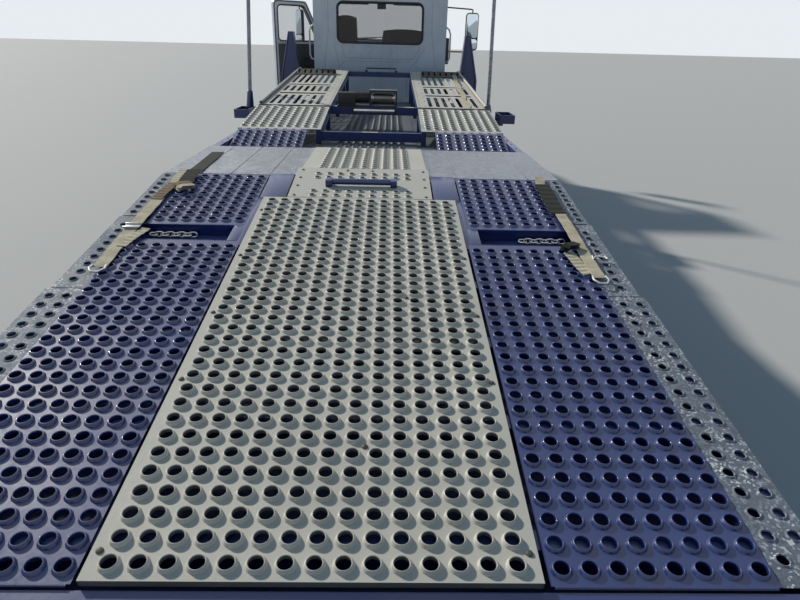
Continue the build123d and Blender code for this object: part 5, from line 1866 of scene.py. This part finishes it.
@dataclass(frozen=True)
class Nose:
    """The bonnet's lamps, grille, vents, latches and arch lips, and the bumper.

    The arch's middle is (Y, Z), and the bumper's plan is its outline on the right half, (X, Y).
    """

    front: float = 5.83
    arch: Pair = (5.06, 0.525)
    arch_radius: float = 0.649
    bumper_plan: tuple[Pair, ...] = ((1.18, 5.56), (1.18, 5.656), (1.12, 5.712), (0.92, 5.862), (0.86, 5.88),
                                     (0.7, 5.893))

    def lamps(self) -> None:
        """Two stacked round lamps on each side in a dark housing, and the wings' amber lamps."""
        housing, lenses, rings, amber = Form(), Form(), Form(), Form()
        housing.twins((0.702, 0.918), (self.front - 0.056, self.front - 0.01), (0.882, 1.118))
        amber.twins((0.7, 0.765), (self.front - 0.022, self.front + 0.004), (1.135, 1.18))
        amber.twins((1.16, 1.186), (5.33, 5.42), (1.02, 1.055))
        for side in Side:
            for z in (0.943, 1.057):
                place = moved(side.value * 0.81, self.front - 0.012, z) @ spun(90, "Z")
                lenses.turned([(0, 0), (0, 0.046), (0.008, 0.045), (0.015, 0.036), (0.019, 0.018),
                               (0.02, 0)], place, 32)
                rings.turned([(0, 0.046), (0, 0.054), (0.012, 0.053), (0.016, 0.049), (0.012, 0.046)],
                             place, 32)
        placed(housing.made("lamp_housings", 0.01, segments=3), Stock.PLASTIC, "bonnet", ("headlamps",))
        placed(lenses.made("lamp_lenses"), Stock.CLEAR, "bonnet")
        placed(rings.made("lamp_rings"), Stock.CHROME, "bonnet")
        placed(amber.made("wing_lamps", 0.006), Stock.AMBER, "bonnet")

    def grille(self) -> None:
        """The grille's frame, its fine upright bars and the vents on the hood's sides."""
        frame = Form()
        frame.twins((0.398, 0.424), (self.front - 0.04, self.front + 0.008), (0.936, 1.564))
        for z in ((0.936, 0.962), (1.538, 1.564)):
            frame.box((-0.424, 0.424), (self.front - 0.04, self.front + 0.008), z)
        placed(frame.made("grille_frame", 0.006), Stock.PLASTIC, "bonnet")
        upright = Form().box((-0.0022, 0.0022), (-0.006, 0.006), (-0.285, 0.285))
        first = moved(-0.361, self.front - 0.04, 1.25)
        bars = row("grille_bars", upright, 44, (0.0168, 0.0, 0.0), first, Stock.PLASTIC)
        placed(bars, Stock.PLASTIC, "bonnet")
        vents = []
        for side in Side:
            slat = Form().box((-0.01, 0.01), (-0.16, 0.16), (-0.002, 0.002), spun(side.value * 28, "Y"))
            first = moved(side.value * 0.64, 5.02, 1.47)
            vents.append(row(f"vent_{side.word}", slat, 6, (0.0, 0.0, 0.03), first, Stock.PLASTIC))
        placed(joined("hood_vents", vents), Stock.PLASTIC, "bonnet")

    def trims(self) -> None:
        """The arch lips, the hood's latches and its rear seal."""
        work = Form()
        for side in Side:
            arc = []
            for k in range(33):
                a, r = math.radians(26 + 120 * k / 32), self.arch_radius
                arc.append((side.value * 1.17, self.arch[0] + r * math.cos(a),
                            self.arch[1] + r * math.sin(a)))
            work.tube(arc, 0.012, 10)
        work.twins((0.636, 0.654), (4.57, 4.61), (1.43, 1.56))
        work.twins((0.64, 0.662), (4.56, 4.62), (1.52, 1.545))
        placed(work.made("bonnet_trims"), Stock.RUBBER, "bonnet")
        seam = Form()
        crease = ((0.5, 4.535, 1.926), (0.47, 5.0, 1.866), (0.44, 5.35, 1.797), (0.42, 5.64, 1.705))
        for side in Side:
            seam.tube([(side.value * x, y, z) for x, y, z in crease], 0.008, 8)
        placed(seam.made("hood_creases"), Stock.WHITE, "bonnet")

    def bumper(self) -> None:
        """The bright bumper with swept ends, its dark slot, bolts, brackets and tow hooks."""
        upright = Matrix(((0, 1, 0, 0), (0, 0, 1, 0), (1, 0, 0, 0), (0, 0, 0, 1)))
        outer = list(self.bumper_plan) + [(-x, y) for x, y in reversed(self.bumper_plan)]
        inner = [(x * 0.99, y - 0.011) for x, y in outer]
        plate = Form().prism(outer + inner[::-1], (0.4, 0.7), upright)
        placed(plate.made("bumper_plate", 0.003, 24), Stock.CHROME, nodes=("bumper",))
        dark = Form().box((-0.34, 0.34), (5.88, 5.8955), (0.5, 0.6))
        dark.twins((0.35, 0.43), (5.585, 5.884), (0.6, 0.69))
        dark.twins((0.35, 0.43), (5.585, 5.64), (0.6, 0.73))
        hook = ((5.7, 0.47), (5.872, 0.47), (5.885, 0.5), (5.872, 0.53), (5.85, 0.53))
        for side in Side:
            dark.tube([(side.value * 0.52, y, z) for y, z in hook], 0.01, 10)
        placed(dark.made("bumper_slot", 0.003), Stock.BLACK)
        heads = []
        for x in (-0.62, -0.45, 0.45, 0.62):
            for z in (0.44, 0.66):
                heads.append(dome(0.016, 0.006, moved(x, 5.8925, z) @ spun(-90, "X")).made("bolt"))
        placed(joined("bumper_bolts", heads), Stock.CHROME)

    def build(self) -> None:
        """Builds the nose."""
        self.lamps()
        self.grille()
        self.trims()
        self.bumper()


class Axle(Enum):
    """The axles, as the bodies and nodes spell them."""

    FRONT = "front"
    REAR = "rear"


@dataclass(frozen=True)
class Wheel:
    """A wheel or a pair of twins: tyres with tread blocks, rims with hand holes, hub and nuts.

    Attributes:
        side: The side that it is on.
        axle: The axle that it is on.
        x: Where its own frame stands across.
        y: Where it stands along.
        tyres: Each tyre's middle on its axis, outwards.
        disc: The disc's face on the axis at its inner and outer radius.
        disc_radii: Those radii.
        hub: The hub's outer end on the axis.
        drum: The drum's ends on the axis.
        rolling: How high the axle stands.
    """

    side: Side
    axle: Axle
    x: float
    y: float
    tyres: tuple[float, ...]
    disc: Pair
    disc_radii: Pair
    hub: float
    drum: Pair
    rolling: float = 0.525

    @property
    def body(self) -> str:
        """The body that rolls."""
        return self.node("wheel")

    @property
    def place(self) -> Matrix:
        """The frame with X along the axle, outwards."""
        return moved(self.side.value * self.x, self.y, self.rolling) @ spun(90 - 90 * self.side.value, "Z")

    def node(self, part: str) -> str:
        """The name of a body or node of this wheel, which is plural for twins."""
        return f"{part}{'s' if self.axle is Axle.REAR else ''}_{self.axle.value}_{self.side.word}"

    def tyre(self, at: float) -> Piece:
        """One tyre with its tread blocks.

        Args:
            at: Its middle on the axis.

        Returns:
            The tyre.
        """
        half = ((0.1, 0.29), (0.113, 0.298), (0.127, 0.325), (0.137, 0.365), (0.1405, 0.41), (0.139, 0.45),
                (0.1365, 0.462), (0.1385, 0.468), (0.134, 0.485), (0.126, 0.503), (0.112, 0.509),
                (0.06, 0.5115))
        profile = [(at - x, r) for x, r in half] + [(at + x, r) for x, r in reversed(half)]
        blocks = Form()
        for k, x in enumerate((-0.093, -0.046, 0.0, 0.046, 0.093)):
            wide = 0.025 if k in (0, 4) else 0.0185
            top = 0.522 if k in (0, 4) else 0.5235
            shift = 0.0147 if k % 2 else -0.0147
            blocks.box((at + x - wide, at + x + wide), (0.5, top), (shift - 0.0235, shift + 0.0235))
        carcass = Form().turned(profile, sides=72)
        return ring(f"{self.body}_tyre_{at:+.2f}", carcass, blocks, 56, self.place, Stock.TYRE, 40)

    def build(self) -> None:
        """Builds the wheel."""
        tyres = [self.tyre(at) for at in self.tyres]
        placed(joined(f"{self.body}_tyres", tyres), Stock.TYRE, self.body, (self.node("tyre"),))
        rim = Form()
        well = ((0.07, 0.25), (0.092, 0.26), (0.101, 0.262), (0.101, 0.296), (0.09, 0.292))
        for at in self.tyres:
            rim.turned([(at - x, r) for x, r in well] + [(at + x, r) for x, r in reversed(well)], sides=64)
        if self.axle is Axle.REAR:
            cone = [(0.01, 0.215), (0.01, 0.232), (0.084, 0.256), (0.11, 0.256), (0.09, 0.248), (0.02, 0.222)]
            rim.turned(cone, sides=64)
        sector = Form().sector(self.disc_radii, 36.0, 0.027, self.disc, 0.014)
        dished = ring(f"{self.body}_rim", rim, sector, 10, self.place, Stock.ALLOY)
        placed(dished, Stock.ALLOY, self.body, (self.node("rim"),))
        face, inner, end = self.disc[0], self.disc_radii[0], self.hub
        hub = Form().turned([(face - 0.03, 0), (face - 0.03, inner + 0.004), (face + 0.006, inner + 0.004),
                             (face + 0.01, inner - 0.012), (end - 0.02, 0.094), (end - 0.006, 0.086),
                             (end - 0.001, 0.05), (end - 0.001, 0)], sides=40)
        hexagon = ((0, 0), (0, 0.018), (0.004, 0.018), (0.004, 0.015), (0.022, 0.0145), (0.026, 0.008),
                   (0.026, 0))
        nut = Form().turned([(face + x, r) for x, r in hexagon], moved(0.0, inner + 0.0275, 0.0), 6)
        placed(ring(f"{self.body}_hub", hub, nut, 10, self.place, Stock.STEEL), Stock.STEEL, self.body)
        back, front = self.drum
        drum = Form().turned([(back, 0), (back, 0.2), (back + 0.008, 0.205), (front - 0.008, 0.205),
                              (front, 0.198), (front, 0)], self.place)
        placed(drum.made(f"{self.body}_drum"), Stock.CAST, self.body)


@dataclass(frozen=True)
class Running:
    """What hangs on the chassis: bolts, tank straps and cap, step treads, air tanks and lamp bezels.

    The rail is X of the rails' outer face, and the tank has its X, Z and radius.
    """

    rail: float = 0.43
    tank: Point = (-0.75, 0.69, 0.27)

    def fasteners(self) -> None:
        """Bolt heads along the rails and the low deck's edge, and clamps on the springs."""
        lines = []
        for side in Side:
            turn = spun(side.value * 90, "Y")
            for z in (0.775, 0.955):
                start = moved(side.value * self.rail, -3.4, z)
                lines.append(row(f"rail_bolts_{side.word}_{z}", dome(0.011, 0.008, turn), 30,
                                 (0.0, 0.3, 0.0), start, Stock.BLACK))
            lines.append(row(f"low_deck_bolts_{side.word}", dome(0.012, 0.008, turn), 12, (0.0, 0.5, 0.0),
                             moved(side.value * 1.26, -2.7, 1.155), Stock.BLACK))
        placed(joined("rail_bolts", lines), Stock.BLACK)
        clamps = Form()
        for side in Side:
            x = side.value * 0.39
            for y, low, high in ((-2.3, 0.44, 0.675), (5.06, 0.415, 0.575)):
                for at in (y - 0.066, y + 0.066):
                    bent = ((-0.05, low), (-0.05, high), (0.05, high), (0.05, low))
                    clamps.tube([(x + step, at, z) for step, z in bent], 0.009, 8)
                clamps.box((x - 0.062, x + 0.062), (y - 0.085, y + 0.085), (low, low + 0.018))
        placed(clamps.made("spring_clamps", 0.002), Stock.CAST)

    def tank_fittings(self) -> None:
        """The fuel tank's straps, the ribs of its ends, and its neck with the cap."""
        x, z, radius = self.tank
        along = spun(90, "Z")
        straps = Form()
        for y in (2.42, 3.18):
            straps.turned([(-0.025, radius - 0.002), (-0.025, radius + 0.003), (0.025, radius + 0.003),
                           (0.025, radius - 0.002)],
                          moved(x, y, z) @ along, 56)
        for y in (2.2, 3.4):
            for r in (0.25, 0.16):
                straps.turned([(-0.006, r - 0.006), (0.0, r), (-0.006, r + 0.006)],
                              moved(x, y, z) @ along, 48)
        neck = moved(x - 0.105, 3.0, z + 0.235) @ spun(-114, "Y")
        straps.turned([(0, 0), (0, 0.048), (0.03, 0.048), (0.03, 0.056), (0.052, 0.056), (0.056, 0.05),
                       (0.056, 0)], neck, 24)
        placed(straps.made("tank_fittings"), Stock.STEEL)

    def steps(self) -> None:
        """Punched treads on the stairs below the doors."""
        treads = []
        for side in Side:
            for z in (0.5, 0.8):
                inner, outer = sided(side, 0.715, 0.998)
                tread = PunchedSheet(f"tread_{side.word}_{z}", (inner, outer), (3.614, 4.366), 5, 16,
                                     (inner + 0.0425, 3.655),
                                     hole=0.014, rise=0.004, thick=0.002, dome=0.004, pitch=(0.05, 0.0448))
                treads.append(tread.make(Stock.TREAD, moved(0.0, 0.0, z + 0.003)))
        placed(joined("step_treads", treads), Stock.TREAD)

    def tanks(self) -> None:
        """Two air tanks below the deck, on straps from the right rail."""
        along = spun(90, "Z")
        air, straps, half = Form(), Form(), 0.35
        for y in (-0.95, 0.05):
            air.turned([(-half - 0.035, 0), (-half - 0.028, 0.055), (-half, 0.098), (half, 0.098),
                        (half + 0.028, 0.055), (half + 0.035, 0)], moved(0.56, y, 0.85) @ along, 32)
            for step in (-0.22, 0.22):
                straps.turned([(-0.018, 0.097), (-0.018, 0.101), (0.018, 0.101), (0.018, 0.097)],
                              moved(0.56, y + step, 0.85) @ along, 32)
                straps.box((0.428, 0.47), (y + step - 0.018, y + step + 0.018), (0.78, 0.92))
        placed(air.made("air_tanks"), Stock.BLACK)
        placed(straps.made("air_tank_straps"), Stock.STEEL)

    def tail_end(self) -> None:
        """The tail lamps' bezels, and the mudflaps' bars with their bolts."""
        back = spun(-90, "Z")
        bezels = Form()
        for side in Side:
            for x in (0.82, 0.96, 1.1):
                bezels.turned([(0.0, 0.05), (0.0, 0.06), (0.008, 0.058), (0.01, 0.05)],
                              moved(side.value * x, -5.885, 0.77) @ back, 28)
        placed(bezels.made("lamp_bezels"), Stock.RUBBER)
        bars = Form().twins((0.6, 1.2), (-2.962, -2.938), (1.035, 1.085))
        bars.twins((0.42, 0.615), (-2.96, -2.935), (0.96, 1.0))
        for side in Side:
            for x in (0.66, 0.9, 1.15):
                bars.turned([(0, 0), (0, 0.012), (0.008, 0.01), (0.008, 0)],
                            moved(side.value * x, -2.962, 1.06) @ back, 8)
        placed(bars.made("mudflap_bars", 0.002), Stock.BLACK)

    def build(self) -> None:
        """Builds the running gear's details."""
        self.fasteners()
        self.tank_fittings()
        self.steps()
        self.tanks()
        self.tail_end()


CARRIED_OVER: dict[Stock, tuple[str, ...]] = {
    Stock.BLACK: ("chassis_frame", "radiator", "propshaft", "steps", "wheel_stops", "winch"),
    Stock.CAST: ("front_axle", "rear_axle", "knuckle_left", "knuckle_right", "tie_rod", "engine"),
    Stock.SPRING: ("springs",),
    Stock.TYRE: ("tyre_front_left", "tyre_front_right", "tyres_rear_left", "tyres_rear_right"),
    Stock.ALLOY: ("rim_front_left", "rim_front_right", "rims_rear_left", "rims_rear_right", "fuel_tank"),
    Stock.WHITE: ("cab_shell", "door_left", "door_right", "bonnet"),
    Stock.GLASS: ("cab_glass", "door_glass_left", "door_glass_right"),
    Stock.PLASTIC: ("mirror_left", "mirror_right", "grille"),
    Stock.CLOTH: ("seats",),
    Stock.TRIM: ("dashboard",),
    Stock.CLEAR: ("headlamps",),
    Stock.CHROME: ("bumper",),
    Stock.BLUE: ("deck_bearers", "deck_crossmembers", "side_rails", "tail_sill", "chain_trays", "flap_left",
                 "flap_right", "cross_bars", "posts", "track_legs"),
    Stock.PALE: ("raised_tracks", "track_plates"),
    Stock.ZINC: ("floor_plates", "poles"),
    Stock.STEEL: ("winch_drum", "chains"),
    Stock.RED: ("tail_lamps",),
    Stock.AMBER: ("roof_lamps",),
    Stock.WEB: ("straps",),
    Stock.RUBBER: ("mudflaps",),
}


def wheels() -> list[Wheel]:
    """The front wheels and the rear twins of both sides."""
    made = []
    for side in Side:
        made.append(Wheel(side, Axle.FRONT, 1.03, 5.06, (0.0,), (0.074, 0.074), (0.112, 0.256), 0.135,
                          (-0.112, 0.01)))
        made.append(Wheel(side, Axle.REAR, 0.91, -2.3, (-0.17, 0.17), (0.014, 0.014), (0.112, 0.222), 0.15,
                          (-0.216, -0.02)))
    return made


def dress_carried_over(frame: dict) -> None:
    """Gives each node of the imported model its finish.
    """
    for stock, nodes in CARRIED_OVER.items():
        for name in nodes:
            for slot in frame["nodes"][name].material_slots:
                slot.material = material(stock)


def main() -> None:
    """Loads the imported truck, dresses it and finishes the frame."""
    logging.basicConfig(level=logging.INFO, format="%(message)s")
    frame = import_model()
    View().make()
    Studio().make()
    dress_carried_over(frame)
    doors = (Door(Side.LEFT, -53.03), Door(Side.RIGHT, 0.0))
    deck = (TailDeck(), MiddleDeck(), RaisedTracks(), TieDowns(), Winch(), Uprights())
    for part in (*deck, Cab(), *doors, Seats(), Nose(), *wheels(), Running()):
        part.build()
    bpy.context.view_layer.update()


if __name__ == "__main__":
    main()
